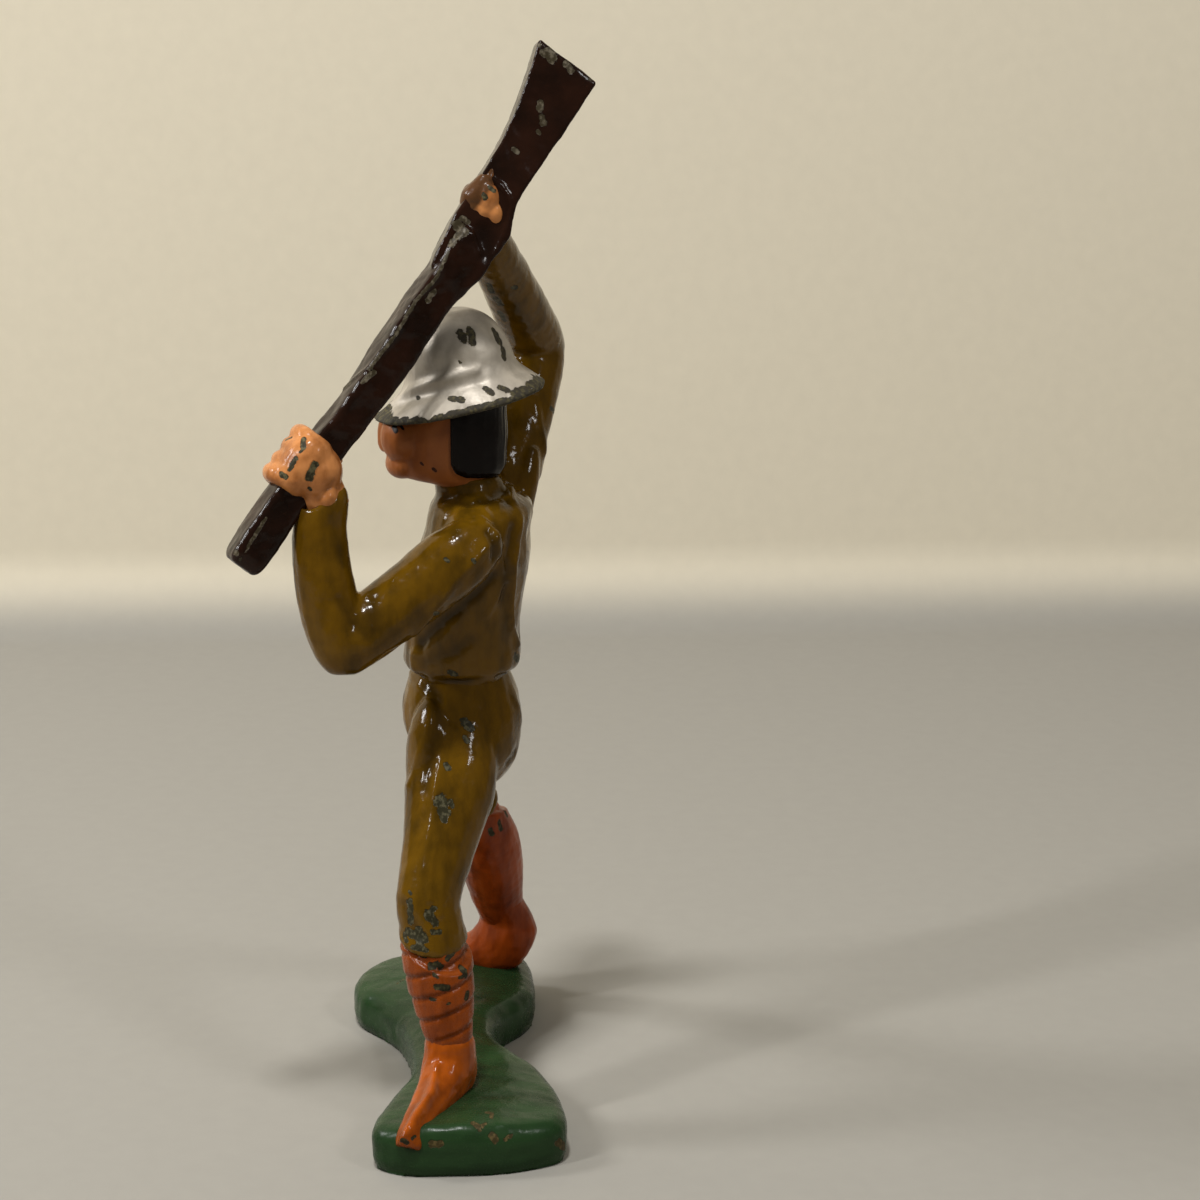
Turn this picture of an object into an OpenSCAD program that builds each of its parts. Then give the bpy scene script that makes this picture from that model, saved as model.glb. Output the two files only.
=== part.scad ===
// Toy soldier swinging a rifle by its muzzle, cast in metal on its own base, with a tin helmet.
// The front of the figure faces -Y and its left hand side is +X. The ground is z = 0.

/* [Base] */
// Length of the base, from the end under one foot to the end under the other
base_l = 47.5; // [42:0.5:52]
// Width of the base across its round ends
base_w = 18.4; // [16:0.2:21]
// Thickness of the base in the middle
base_t = 4.8; // [4:0.1:5.8]
// Radius of the worn top edge of the base
base_edge_r = 1.3; // [0.8:0.1:1.6]
// Rise of the base's top from its edges to its middle
base_dome = 0.4; // [0.2:0.05:0.7]

/* [Legs] */
// Rise from the top of the base to the hip joints
leg_rise = 29.7; // [26:0.1:33]
// Distance between the hip joints
hip_gap = 8.6; // [8.2:0.1:9.4]
// Diameter of a thigh
thigh_d = 7.8; // [7:0.1:8.2]
// Diameter of a knee
knee_d = 6; // [5.2:0.1:6.8]
// Diameter of a calf in its puttee
calf_d = 6.3; // [5.4:0.1:7]
// Diameter of an ankle
ankle_d = 4.7; // [4:0.1:4.9]
// Height of the ankles above the base
ankle_h = 4.7; // [4:0.1:5.4]
// Turns of cloth in a puttee
wrap_count = 5; // [4:1:8]
// Depth of the grooves between the turns
wrap_groove = 0.25; // [0.1:0.05:0.4]

/* [Boots] */
// Length of a boot
boot_l = 13.6; // [12.6:0.1:14.4]
// Width of a boot at the heel
boot_w = 5.2; // [4.8:0.1:5.8]

/* [Trunk] */
// Rise from the hip joints to the waist
waist_rise = 6.1; // [5:0.1:7]
// Rise from the waist to the shoulder joints
trunk_rise = 14.2; // [12.8:0.1:15.6]
// Width of the waist
waist_w = 10.4; // [9:0.1:11.6]
// Depth of the waist, front to back
waist_d = 9.4; // [8.4:0.1:10.4]
// Width of the breeches across the hips
seat_w = 13.4; // [12.4:0.1:15]
// Depth of the breeches across the seat
seat_d = 11.3; // [10:0.1:12.4]
// Width of the chest
chest_w = 14; // [12.8:0.1:15.4]
// Depth of the chest, front to back
chest_d = 10.8; // [9.8:0.1:12]
// Turn of the shoulders in degrees, left one forward
chest_turn = 8; // [0:1:14]
// Diameter of the standing collar
collar_d = 6.8; // [6.2:0.1:7.4]
// Height of the standing collar
collar_h = 1.8; // [1.4:0.1:2.2]

/* [Head] */
// Rise from the shoulder joints to the middle of the head
head_rise = 8.3; // [7.8:0.1:9]
// Width of the head
head_w = 8.6; // [8:0.1:9]
// Depth of the head, from the face to the back of the hair
head_d = 11.2; // [10:0.1:11.8]
// Height of the head from the chin to the crown
head_h = 13.4; // [12.4:0.1:14.2]
// How far the hair stands proud of the head
hair_t = 0.3; // [0.2:0.05:0.5]

/* [Helmet] */
// Radius of the helmet's brim
brim_r = 7.3; // [6.6:0.1:7.8]
// Radius of the helmet's crown where it meets the brim
crown_r = 5.2; // [5:0.05:5.6]
// Height of the helmet from the brim's plane to its top
crown_h = 8.1; // [7.6:0.1:9]
// Drop of the brim's edge below its plane
brim_drop = 0.6; // [0.4:0.1:1]
// Thickness of the pressed tin with its paint
tin_t = 0.6; // [0.5:0.05:0.8]
// Forward tilt of the helmet, in degrees
helmet_tilt = 11; // [6:1:14]

/* [Arms] */
// Length of an upper arm
upper_arm_l = 16.2; // [15:0.1:17.4]
// Length of the left forearm, from the elbow to the cuff
left_forearm_l = 13.3; // [12.4:0.1:14.2]
// Length of the right forearm, from the elbow to the cuff
right_forearm_l = 16.4; // [15.4:0.1:17.2]
// Diameter of a sleeve at the upper arm
sleeve_d = 6.2; // [5.6:0.1:6.8]
// Diameter of a sleeve at the cuff
cuff_d = 4.4; // [4.1:0.1:5]
// Diameter of a closed fist
fist_d = 6.6; // [6:0.1:7.2]

/* [Rifle] */
// Length of the rifle from the muzzle to the butt
rifle_l = 54.2; // [50:0.1:58]
// Height and width of the fore-end
fore_d = 3.7; // [3.2:0.05:4]
// Height of the receiver
receiver_h = 5.2; // [4.6:0.1:5.6]
// Height of the stock behind the receiver
grip_h = 4.1; // [3.6:0.1:4.6]
// Height of the butt at its end
butt_h = 6.7; // [6:0.1:7.4]
// Thickness of the butt
butt_t = 3.2; // [2.8:0.1:3.8]

/* [Hidden] */

// Points round a limb, and rings worked out between two rows of a table
RING_POINTS = 16;
RING_STEPS = 2;

green = "#2f4a2e";
orange = "#b5521c";
khaki = "#5f4410";
flesh = "#cf8450";
black_hair = "#1c1210";
silver = "#b4b0a6";
brown = "#2a1b14";

// Squareness of a rounded section: 1 is an ellipse, less is squarer
trunk_power = 0.85;
rifle_power = 0.5;

// Heights of the joints above the ground
ankle_z = base_t + ankle_h;
hip_z = base_t + leg_rise;
waist_z = hip_z + waist_rise;
shoulder_z = waist_z + trunk_rise;
head_z = shoulder_z + head_rise;

// The feet stand on the two round ends of the base, turned outwards by these angles
left_ankle_share = [0.286, -0.01];
right_ankle_share = [-0.4, 0.29];
left_toe_turn = 68;
right_toe_turn = -27;
left_ankle = [left_ankle_share[0] * base_l, left_ankle_share[1] * base_w, ankle_z];
right_ankle = [right_ankle_share[0] * base_l, right_ankle_share[1] * base_w, ankle_z];

// A knee lies at a share of the way from ankle to hip, pushed sideways and forward by shares of its size
left_hip_share = 0.09;
right_hip_share = 0.14;
left_knee_shares = [0.49, 0.26, -0.4];
right_knee_shares = [0.63, -0.1, -0.27];
left_hip = [hip_gap / 2, left_hip_share * seat_d, hip_z];
right_hip = [-hip_gap / 2, right_hip_share * seat_d, hip_z];
left_knee = knee(left_ankle, left_hip, left_knee_shares);
right_knee = knee(right_ankle, right_hip, right_knee_shares);

// Each part of an arm runs along these shares of its own length from the shoulder on
across = [cos(chest_turn), -sin(chest_turn), 0];
shoulder_share = [0.46, 0.44, 0.41, 0.07];
left_upper_arm_share = [0.31, -0.78, -0.54];
right_upper_arm_share = [-0.52, 0.235, 0.82];
left_forearm_share = [-0.09, -0.11, 0.99];
right_forearm_share = [0.757, -0.254, 0.604];
left_hand_share = [-0.11, -0.24, 0.42];
right_hand_share = [0.54, -0.13, 0.75];
right_hold_share = [0.13, 0, -0.05];
shoulder_mid = [0, shoulder_share[2] * chest_d, shoulder_z];
left_shoulder = shoulder_mid + across * shoulder_share[0] * chest_w;
right_shoulder = shoulder_mid - across * shoulder_share[1] * chest_w + [0, 0, shoulder_share[3] * trunk_rise];
left_elbow = left_shoulder + upper_arm_l * left_upper_arm_share;
right_elbow = right_shoulder + upper_arm_l * right_upper_arm_share;
left_cuff = left_elbow + left_forearm_l * left_forearm_share;
right_cuff = right_elbow + right_forearm_l * right_forearm_share;
left_grip = left_cuff + fist_d * left_hand_share;
right_grip = right_cuff + fist_d * right_hand_share;

// The rifle lies along the line through the left grip and a place beside the right grip
right_hold = right_grip + fist_d * right_hold_share;
rifle_dir = unit(right_hold - left_grip);
rifle_belly = unit(cross([1, 0, 0], rifle_dir));
rifle_side = cross(rifle_dir, rifle_belly);

// The helmet's brim plane above the middle of the head
helmet_share = [0.2, 0.27];
helmet_place = [0, helmet_share[0] * head_d, head_z + helmet_share[1] * head_h];

// Outline of the base in shares of its length and width: place along it, front edge, back edge,
// and the share of the thickness that is left there
base_shares = [
    [-0.51, -0.02, 0.26, 0.62], [-0.495, -0.22, 0.38, 0.85], [-0.455, -0.42, 0.44, 0.95],
    [-0.39, -0.51, 0.455, 0.98], [-0.32, -0.535, 0.46, 1], [-0.26, -0.49, 0.45, 1],
    [-0.2, -0.385, 0.38, 1], [-0.135, -0.295, 0.27, 1], [-0.07, -0.25, 0.235, 1],
    [0, -0.22, 0.245, 1], [0.065, -0.205, 0.32, 1], [0.135, -0.205, 0.43, 1],
    [0.2, -0.235, 0.49, 1], [0.265, -0.295, 0.53, 1], [0.335, -0.355, 0.555, 1],
    [0.395, -0.39, 0.565, 0.98], [0.44, -0.39, 0.55, 0.95], [0.47, -0.33, 0.48, 0.9],
    [0.49, -0.2, 0.34, 0.8], [0.497, -0.04, 0.2, 0.62]
];

// Boot under an ankle: front point and back point of each ring, as shares of the boot's length ahead
// of the ankle and of the ankle's height above the base, then the half width as a share of the width
boot_shares = [
    [0.168, 1, -0.168, 1, 0.44], [0.19, 0.74, -0.21, 0.5, 0.46], [0.26, 0.54, -0.24, 0.05, 0.48],
    [0.36, 0.41, -0.19, -0.3, 0.47], [0.48, 0.3, 0.08, -0.45, 0.42], [0.63, 0.17, 0.35, -0.5, 0.36],
    [0.76, -0.06, 0.6, -0.55, 0.3], [0.81, -0.3, 0.7, -0.55, 0.18]
];

// Leg: share of the way along its bone, half width and half depth as shares of the piece's diameter
thigh_shares = [[-0.06, 0.44, 0.47], [0.27, 0.48, 0.54], [0.45, 0.46, 0.49], [0.73, 0.42, 0.42]];
knee_half_share = 0.5;
// Calf: the last column is how far it swells backwards on the bent leg
calf_shares = [
    [0.2, 0.46, 0.465, 0.14], [0.36, 0.495, 0.505, 0.16], [0.52, 0.48, 0.5, 0.13],
    [0.64, 0.46, 0.475, 0.09], [0.8, 0.41, 0.42, 0.04]
];
ankle_half_share = 0.48;
ankle_end_share = [0.3, 0.42];
left_calf_swell = 0;
right_calf_swell = 1;
// Where a puttee begins, as rows of the leg's own table counted from the hip
left_puttee_row = 5.2;
right_puttee_row = 4.4;
wrap_lean_share = 0.35;
breeches_hem_share = 1.07;

// Breeches from the crotch up to the waist: height as a share of the rise, half width and half depth
// in shares of the seat's sizes, and how far the middle lies back
seat_shares = [
    [-0.9, 0.08, 0.07, 0.12], [-0.82, 0.224, 0.212, 0.124], [-0.574, 0.39, 0.354, 0.14],
    [-0.246, 0.49, 0.451, 0.15], [0.08, 0.5, 0.495, 0.133], [0.41, 0.47, 0.504, 0.115],
    [0.74, 0.425, 0.46, 0.115]
];

// Trunk from the waist up, the same way in shares of the chest's sizes
waist_back_share = 0.12;
trunk_shares = [
    [0.085, 0.421, 0.505, 0.134], [0.3, 0.443, 0.5, 0.148], [0.507, 0.471, 0.5, 0.194],
    [0.76, 0.514, 0.507, 0.248], [0.965, 0.514, 0.477, 0.301], [1.113, 0.464, 0.454, 0.324],
    [1.19, 0.36, 0.36, 0.29], [1.24, 0.25, 0.28, 0.26]
];

// Collar: height in shares of its own, radius in shares of its diameter, and how far back in shares
// of the chest's depth
collar_rise_share = 0.2;
collar_shares = [[-0.6, 0.5, 0.2], [0.3, 0.52, 0.19], [1, 0.47, 0.16]];

// Head from the neck up: height as a share of its own from the middle, half width, half depth, how
// far the middle lies back, and how far the nose and the chin stand out
head_shares = [
    [-0.42, 0.32, 0.24, 0.14, 0], [-0.336, 0.337, 0.26, 0.107, 0], [-0.276, 0.395, 0.4, 0.035, 0],
    [-0.209, 0.442, 0.47, 0.017, 0.02], [-0.11, 0.48, 0.485, 0.012, 0], [0, 0.5, 0.485, 0.02, 0.08],
    [0.1, 0.515, 0.475, 0.04, 0.01], [0.216, 0.51, 0.41, 0.09, 0], [0.33, 0.49, 0.37, 0.135, 0]
];
// Crown of the head inside the helmet: share of the helmet's inner height and of its inner radius
crown_shares = [[0.5, 0.85], [0.7, 0.7], [0.86, 0.5], [1.03, 0.2]];
// Hair behind the ears: its front edge, its lower edge and its upper edge from the helmet's brim plane
hair_front_share = -0.15;
hair_low_share = -0.5;
hair_high_share = 0.07;

// Helmet's outline from its top to its brim: share of the crown's radius, share of the brim's width
// outside it, and share of the crown's height
helmet_shares = [
    [0, 0, 1], [0.33, 0, 0.975], [0.62, 0, 0.865], [0.82, 0, 0.69], [0.92, 0, 0.5],
    [0.97, 0, 0.34], [1, 0.14, 0.22], [1, 0.57, 0.09], [1, 0.92, 0]
];

// Sleeve: share of the bone, and then in shares of the diameter how far past that place, half width
// and half depth
upper_sleeve_shares = [
    [-0.12, 0, 0.4, 0.42], [0.03, 0, 0.52, 0.54], [0.2, 0, 0.52, 0.54], [0.4, 0, 0.49, 0.51],
    [0.65, 0, 0.48, 0.5], [0.88, 0, 0.46, 0.48], [1, 0.05, 0.41, 0.42], [1, 0.29, 0.28, 0.28],
    [1, 0.37, 0.12, 0.12]
];
// Lower sleeve: the last column is how far it bows forward on the upright forearm
lower_sleeve_shares = [
    [0, -0.57, 0.14, 0.14, 0], [0, -0.48, 0.4, 0.4, 0], [0, -0.15, 0.58, 0.58, 0.03],
    [0.1, 0, 0.62, 0.63, 0.12], [0.3, 0, 0.61, 0.62, 0.22], [0.6, 0, 0.57, 0.59, 0.25],
    [0.85, 0, 0.53, 0.55, 0.17], [1, 0, 0.5, 0.5, 0.03]
];
left_forearm_bow = 1;
right_forearm_bow = 0;
// Fist: share of its own diameter past the grip. The first two rows are the wrist, counted from the cuff.
wrist_shares = [[-0.25, 0.24, 0.24], [0, 0.28, 0.29]];
fist_shares = [
    [-0.34, 0.38, 0.4], [-0.15, 0.45, 0.49], [0.05, 0.47, 0.51],
    [0.26, 0.43, 0.46], [0.43, 0.31, 0.33], [0.51, 0.14, 0.15]
];

// Rifle from the muzzle to the butt: share of its length from the right hand, and how far the middle
// lies towards the belly in shares of the fore-end's height, beside half height and half width
half = 0.5;
rifle_row_shares = [
    [-0.706, -0.06], [-0.636, -0.04], [-0.576, 0], [-0.446, -0.07], [-0.376, -0.12], [-0.276, -0.1],
    [-0.206, -0.05], [-0.156, -0.06], [-0.106, -0.13], [-0.066, -0.07], [-0.011, -0.02], [0.039, 0.14],
    [0.084, 0.19], [0.124, 0.22], [0.184, 0.32], [0.244, 0.46], [0.284, 0.56]
];
rifle_halves = [
    [0.5 * fore_d, 0.48 * fore_d], [0.51 * fore_d, half * fore_d], [0.5 * fore_d, half * fore_d],
    [0.48 * fore_d, half * fore_d], [0.48 * fore_d, half * fore_d], [0.54 * fore_d, half * fore_d],
    [0.52 * fore_d, half * fore_d], [0.52 * fore_d, half * fore_d], [0.56 * fore_d, half * fore_d],
    [0.47 * receiver_h, half * fore_d], [0.51 * receiver_h, 0.48 * fore_d], [0.51 * grip_h, 0.45 * fore_d],
    [0.51 * grip_h, 0.44 * fore_d], [0.325 * butt_h, 0.47 * butt_t], [0.37 * butt_h, half * butt_t],
    [0.44 * butt_h, half * butt_t], [0.5 * butt_h, half * butt_t]
];
// Rings of the whole rifle where one piece of it ends and the next begins
muzzle_ring = 4;
receiver_ring = 15;
butt_ring = 21;

function unit(v) = v / norm(v);
function slice(list, first, last) = [for (i = [first:last]) list[i]];
function place(row) = [row[0], row[1], row[2]];
function mix(a, b, t) = a + (b - a) * t;
function knee(ankle, hip, shares) = mix(ankle, hip, shares[0]) + [shares[1], shares[2], 0] * knee_d;

// Curve through the rows of a table, at share t of the way from row i to the next
function between(rows, i, t) =
    let (
        a = rows[max(i - 1, 0)],
        b = rows[i],
        c = rows[min(i + 1, len(rows) - 1)],
        d = rows[min(i + 2, len(rows) - 1)]
    )
    (2 * b + (c - a) * t + (2 * a - 5 * b + 4 * c - d) * t * t + (3 * b - a - 3 * c + d) * t * t * t) / 2;

function at(rows, u) = between(rows, floor(u), u - floor(u));

function smooth(rows) = [for (u = [0:1 / RING_STEPS:len(rows) - 1]) at(rows, u)];

function filled(v, power) = sign(v) * pow(abs(v), power);

// One closed ring about a centre, given its half width and half depth as vectors
function ring(centre, half_w, half_d, power = 1) = [
    for (i = [0:RING_POINTS - 1])
    let (a = 360 * i / RING_POINTS)
    centre + filled(cos(a), power) * half_w + filled(sin(a), power) * half_d
];

// Rings square to a limb, from rows of x, y, z, half width and half depth. A lean tips a ring forward.
function limb_rings(rows, lean = 0) = [
    for (i = [0:len(rows) - 1])
    let (
        dir = unit(place(rows[min(i + 1, len(rows) - 1)]) - place(rows[max(i - 1, 0)])),
        side = unit(cross([0, -1, 0], dir)),
        tip = i > 0 && i < len(rows) - 1 ? lean : 0
    )
    ring(place(rows[i]), side * rows[i][3], (cross(dir, side) + dir * tip) * rows[i][4])
];

// Level rings, from rows of height, half width, half depth, place back, share of a turn, and how far
// the middle of the front stands out
function level_rings(rows, turn = 0, power = 1) = [
    for (r = rows)
    let (
        a = turn * r[4],
        half_w = [cos(a), -sin(a), 0] * r[1],
        half_d = [sin(a), cos(a), 0] * r[2],
        points = ring([0, r[3], r[0]], half_w, half_d, power)
    )
    [for (i = [0:RING_POINTS - 1]) i == RING_POINTS * 3 / 4 ? points[i] - [0, r[5], 0] : points[i]]
];

// A closed solid through a list of rings that run anticlockwise about its direction
module loft(rings) {
    n = len(rings[0]);
    last = (len(rings) - 1) * n;
    walls = [
        for (j = [0:n:last - n]) for (i = [0:n - 1])
        let (k = (i + 1) % n)
        each [[j + i, j + n + k, j + k], [j + i, j + n + i, j + n + k]]
    ];
    ends = [[for (i = [0:n - 1]) i], [for (i = [n - 1:-1:0]) last + i]];
    polyhedron(points = [for (r = rings) each r], faces = concat(walls, ends));
}

// Section of the base, from the middle of its top round by the front
function base_ring(row) =
    let (
        x = row[0] * base_l,
        front = row[1] * base_w,
        back = row[2] * base_w,
        r = base_edge_r,
        top = row[3] * base_t,
        edge = top - base_dome
    )
    [
        [x, mix(front, back, half), top],
        [x, mix(front, back, half / 2), top - base_dome * half],
        for (a = [90:30:180]) [x, front + r + r * cos(a), edge - r + r * sin(a)],
        [x, front, 0],
        [x, back, 0],
        for (a = [0:30:90]) [x, back - r + r * cos(a), edge - r + r * sin(a)],
        [x, mix(back, front, half / 2), top - base_dome * half]
    ];

module base_form() loft([for (r = smooth(base_shares)) base_ring(r)]);

module base() color(green) base_form();

// A boot under its ankle, pointing away from the front by an angle
module boot_form(ankle, turn) {
    ahead = [sin(turn), -cos(turn), 0];
    side = [cos(turn), sin(turn), 0];
    sole = ankle - [0, 0, ankle_h];
    loft([
        for (r = smooth(boot_shares))
        let (
            front = sole + ahead * boot_l * r[0] + [0, 0, ankle_h * r[1]],
            back = sole + ahead * boot_l * r[2] + [0, 0, ankle_h * r[3]]
        )
        ring((front + back) / 2, -side * boot_w * r[4], (back - front) / 2)
    ]);
}

module boot(ankle, turn) color(orange) difference() {
    boot_form(ankle, turn);
    base_form();
}

module left_boot() boot(left_ankle, left_toe_turn);

module right_boot() boot(right_ankle, right_toe_turn);

// Rows of a whole leg, from inside the hip to inside the boot
function leg_rows(hip, knee, ankle, swell) = concat(
    [for (r = thigh_shares) concat(mix(hip, knee, r[0]), [r[1], r[2]] * thigh_d)],
    [concat(knee, [knee_half_share, knee_half_share] * knee_d)],
    [
        for (r = calf_shares)
        concat(mix(knee, ankle, r[0]) + [0, swell * r[3] * calf_d, 0], [r[1], r[2]] * calf_d)
    ],
    [concat(ankle, [ankle_half_share, ankle_half_share] * ankle_d)],
    [concat(ankle - [0, 0, ankle_end_share[0] * ankle_h], [ankle_end_share[1], ankle_end_share[1]] * ankle_d)]
);
left_leg = leg_rows(left_hip, left_knee, left_ankle, left_calf_swell);
right_leg = leg_rows(right_hip, right_knee, right_ankle, right_calf_swell);

function shrunk(row, share) = concat(place(row), [row[3], row[4]] * share);
function thinned(row, depth) = concat(place(row), [row[3] - depth, row[4] - depth]);

// Puttee from its first turn down into the boot. Each turn laps over the one below.
module puttee(rows, first, ankle, turn) color(orange) difference() {
    last = len(rows) - 1;
    pitch = (last - 1 - first) / wrap_count;
    lap_share = 0.86;
    loft(limb_rings(concat(
        [at(rows, first)],
        [
            for (k = [0:wrap_count - 1])
            each [
                at(rows, first + (k + lap_share / 2) * pitch),
                at(rows, first + (k + lap_share) * pitch),
                thinned(at(rows, first + (k + 1) * pitch), wrap_groove)
            ]
        ],
        [rows[last]]
    ), wrap_lean_share));
    boot_form(ankle, turn);
}

module left_puttee() puttee(left_leg, left_puttee_row, left_ankle, left_toe_turn);

module right_puttee() puttee(right_leg, right_puttee_row, right_ankle, right_toe_turn);

module seat_form() loft(level_rings(smooth(concat(
    [
        for (r = seat_shares)
        [hip_z + r[0] * waist_rise, r[1] * seat_w, r[2] * seat_d, r[3] * seat_d, 0, 0]
    ],
    [[waist_z, waist_w / 2, waist_d / 2, waist_back_share * chest_d, 0, 0]]
))));

module breeches_seat() color(khaki) seat_form();

module breeches_leg(rows, hem) color(khaki) difference() {
    loft(limb_rings(concat(
        [for (u = [0:1 / RING_STEPS:hem - 1 / RING_STEPS]) at(rows, u)],
        [shrunk(at(rows, hem), breeches_hem_share)]
    )));
    seat_form();
}

module left_breeches_leg() breeches_leg(left_leg, left_puttee_row);

module right_breeches_leg() breeches_leg(right_leg, right_puttee_row);

module tunic_form() loft(level_rings(smooth(concat(
    [[waist_z, waist_w / 2, waist_d / 2, waist_back_share * chest_d, 0, 0]],
    [
        for (r = trunk_shares)
        [waist_z + r[0] * trunk_rise, r[1] * chest_w, r[2] * chest_d, r[3] * chest_d, r[0], 0]
    ]
)), chest_turn, trunk_power));

module tunic() color(khaki) tunic_form();

module collar_form() loft(level_rings(smooth([
    for (r = collar_shares)
    let (z = shoulder_z + collar_rise_share * trunk_rise + r[0] * collar_h)
    [z, r[1] * collar_d, r[1] * collar_d, r[2] * chest_d, 0, 0]
])));

module collar() color(khaki) difference() {
    collar_form();
    tunic_form();
}

// Rows of a sleeve along its bone, bowed forward by a share of the diameter
function bone_rows(shares, from, to, d, bow = 0) =
    let (past = unit(to - from) * d)
    [
        for (r = smooth(shares))
        let (bowed = [0, bow == 0 ? 0 : bow * r[4] * d, 0])
        concat(mix(from, to, r[0]) + past * r[1] - bowed, [r[2], r[3]] * d)
    ];

module upper_sleeve_form(shoulder, elbow)
    loft(limb_rings(bone_rows(upper_sleeve_shares, shoulder, elbow, sleeve_d)));

module lower_sleeve_form(elbow, cuff, bow)
    loft(limb_rings(bone_rows(lower_sleeve_shares, elbow, cuff, cuff_d, bow)));

module upper_sleeve(shoulder, elbow) color(khaki) difference() {
    upper_sleeve_form(shoulder, elbow);
    tunic_form();
}

module lower_sleeve(shoulder, elbow, cuff, bow) color(khaki) difference() {
    lower_sleeve_form(elbow, cuff, bow);
    upper_sleeve_form(shoulder, elbow);
    loft(rifle_rings);
}

module left_upper_sleeve() upper_sleeve(left_shoulder, left_elbow);

module right_upper_sleeve() upper_sleeve(right_shoulder, right_elbow);

module left_lower_sleeve() lower_sleeve(left_shoulder, left_elbow, left_cuff, left_forearm_bow);

module right_lower_sleeve() lower_sleeve(right_shoulder, right_elbow, right_cuff, right_forearm_bow);

// Rows of a wrist and a fist from inside the cuff
function fist_rows(cuff, grip) =
    let (dir = unit(grip - cuff) * fist_d)
    smooth(concat(
        [for (r = wrist_shares) concat(cuff + dir * r[0], [r[1], r[2]] * fist_d)],
        [for (r = fist_shares) concat(grip + dir * r[0], [r[1], r[2]] * fist_d)]
    ));

// A closed fist round the rifle
module fist(elbow, cuff, grip, bow) color(flesh) difference() {
    loft(limb_rings(fist_rows(cuff, grip)));
    lower_sleeve_form(elbow, cuff, bow);
    loft(rifle_rings);
}

module left_hand() fist(left_elbow, left_cuff, left_grip, left_forearm_bow);

module right_hand() fist(right_elbow, right_cuff, right_grip, right_forearm_bow);

module head_form(grow = 0) loft(level_rings(smooth(concat(
    [
        for (r = head_shares)
        [head_z + r[0] * head_h, r[1] * head_w + grow, r[2] * head_d + grow, r[3] * head_d, 0, r[4] * head_d]
    ],
    [
        for (r = crown_shares)
        let (
            up = r[0] * (crown_h - tin_t),
            wide = r[1] * (crown_r - tin_t)
        )
        [helmet_place[2] + up * cos(helmet_tilt), wide, wide, helmet_place[1] - up * sin(helmet_tilt), 0, 0]
    ]
))));

// Space behind the ears that the hair fills
module hair_zone() {
    low = hair_low_share * head_h;
    high = hair_high_share * head_h;
    translate(helmet_place)
    rotate([helmet_tilt, 0, 0])
    translate([-head_w, hair_front_share * head_d, low])
    cube([2 * head_w, head_d, high - low]);
}

module head() color(flesh) difference() {
    intersection() {
        head_form();
        head_room();
    }
    hair_zone();
    tunic_form();
    collar_form();
}

module hair() color(black_hair) difference() {
    intersection() {
        head_form(hair_t);
        hair_zone();
        head_room();
    }
    collar_form();
}

// Outline of the helmet's outside, and the same curve moved inwards by the thickness of the tin
helmet_outside = concat(
    smooth([
        for (r = helmet_shares)
        [r[0] * crown_r + r[1] * (brim_r - crown_r), r[2] * crown_h]
    ]),
    [[brim_r, -brim_drop]]
);
helmet_inside = [
    for (i = [0:len(helmet_outside) - 1])
    let (
        along = unit(helmet_outside[min(i + 1, len(helmet_outside) - 1)] - helmet_outside[max(i - 1, 0)]),
        in = helmet_outside[i] + [along[1], -along[0]] * tin_t
    )
    i == 0 ? [0, crown_h - tin_t] : in
];

helmet_edge = helmet_inside[len(helmet_inside) - 1];

// The space under the brim, and then the same curve inside the helmet, from below upwards
room_outline = concat(
    [[2 * brim_r, -2 * head_h], [2 * brim_r, helmet_edge[1]]],
    [for (i = [len(helmet_inside) - 1:-1:1]) helmet_inside[i]]
);

module head_room()
    translate(helmet_place)
    rotate([helmet_tilt, 0, 0])
    loft([for (p = room_outline) ring([0, 0, p[1]], [p[0], 0, 0], [0, p[0], 0])]);

module helmet() color(silver)
    translate(helmet_place)
    rotate([helmet_tilt, 0, 0])
    rotate_extrude($fn = 64)
    polygon(concat(helmet_outside, [for (i = [len(helmet_inside) - 1:-1:0]) helmet_inside[i]]));

rifle_rows = [for (i = [0:len(rifle_row_shares) - 1]) concat(rifle_row_shares[i], rifle_halves[i])];
rifle_rings = [
    for (r = smooth(rifle_rows))
    ring(
        right_hold + rifle_dir * r[0] * rifle_l + rifle_belly * r[1] * fore_d,
        rifle_belly * r[2],
        rifle_side * r[3],
        rifle_power
    )
];

module rifle_piece(first, last) color(brown) loft(slice(rifle_rings, first, last));

module rifle_muzzle_end() rifle_piece(0, muzzle_ring);

module rifle_fore_end() rifle_piece(muzzle_ring, receiver_ring);

module rifle_receiver() rifle_piece(receiver_ring, butt_ring);

module rifle_butt() rifle_piece(butt_ring, len(rifle_rings) - 1);

base();
left_boot();
right_boot();
left_puttee();
right_puttee();
left_breeches_leg();
right_breeches_leg();
breeches_seat();
tunic();
collar();
left_upper_sleeve();
left_lower_sleeve();
right_upper_sleeve();
right_lower_sleeve();
left_hand();
right_hand();
head();
hair();
helmet();
rifle_muzzle_end();
rifle_fore_end();
rifle_receiver();
rifle_butt();
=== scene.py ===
"""Painted cast toy soldier swinging a rifle by its muzzle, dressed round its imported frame.

The front of the figure faces -Y and its left hand side is +X. Lengths in this file are millimetres
until they are handed to an operator.
"""

import logging
import math
from dataclasses import dataclass
from enum import Enum

import bmesh
import bpy
import numpy as np
from mathutils import Matrix, Vector


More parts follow.
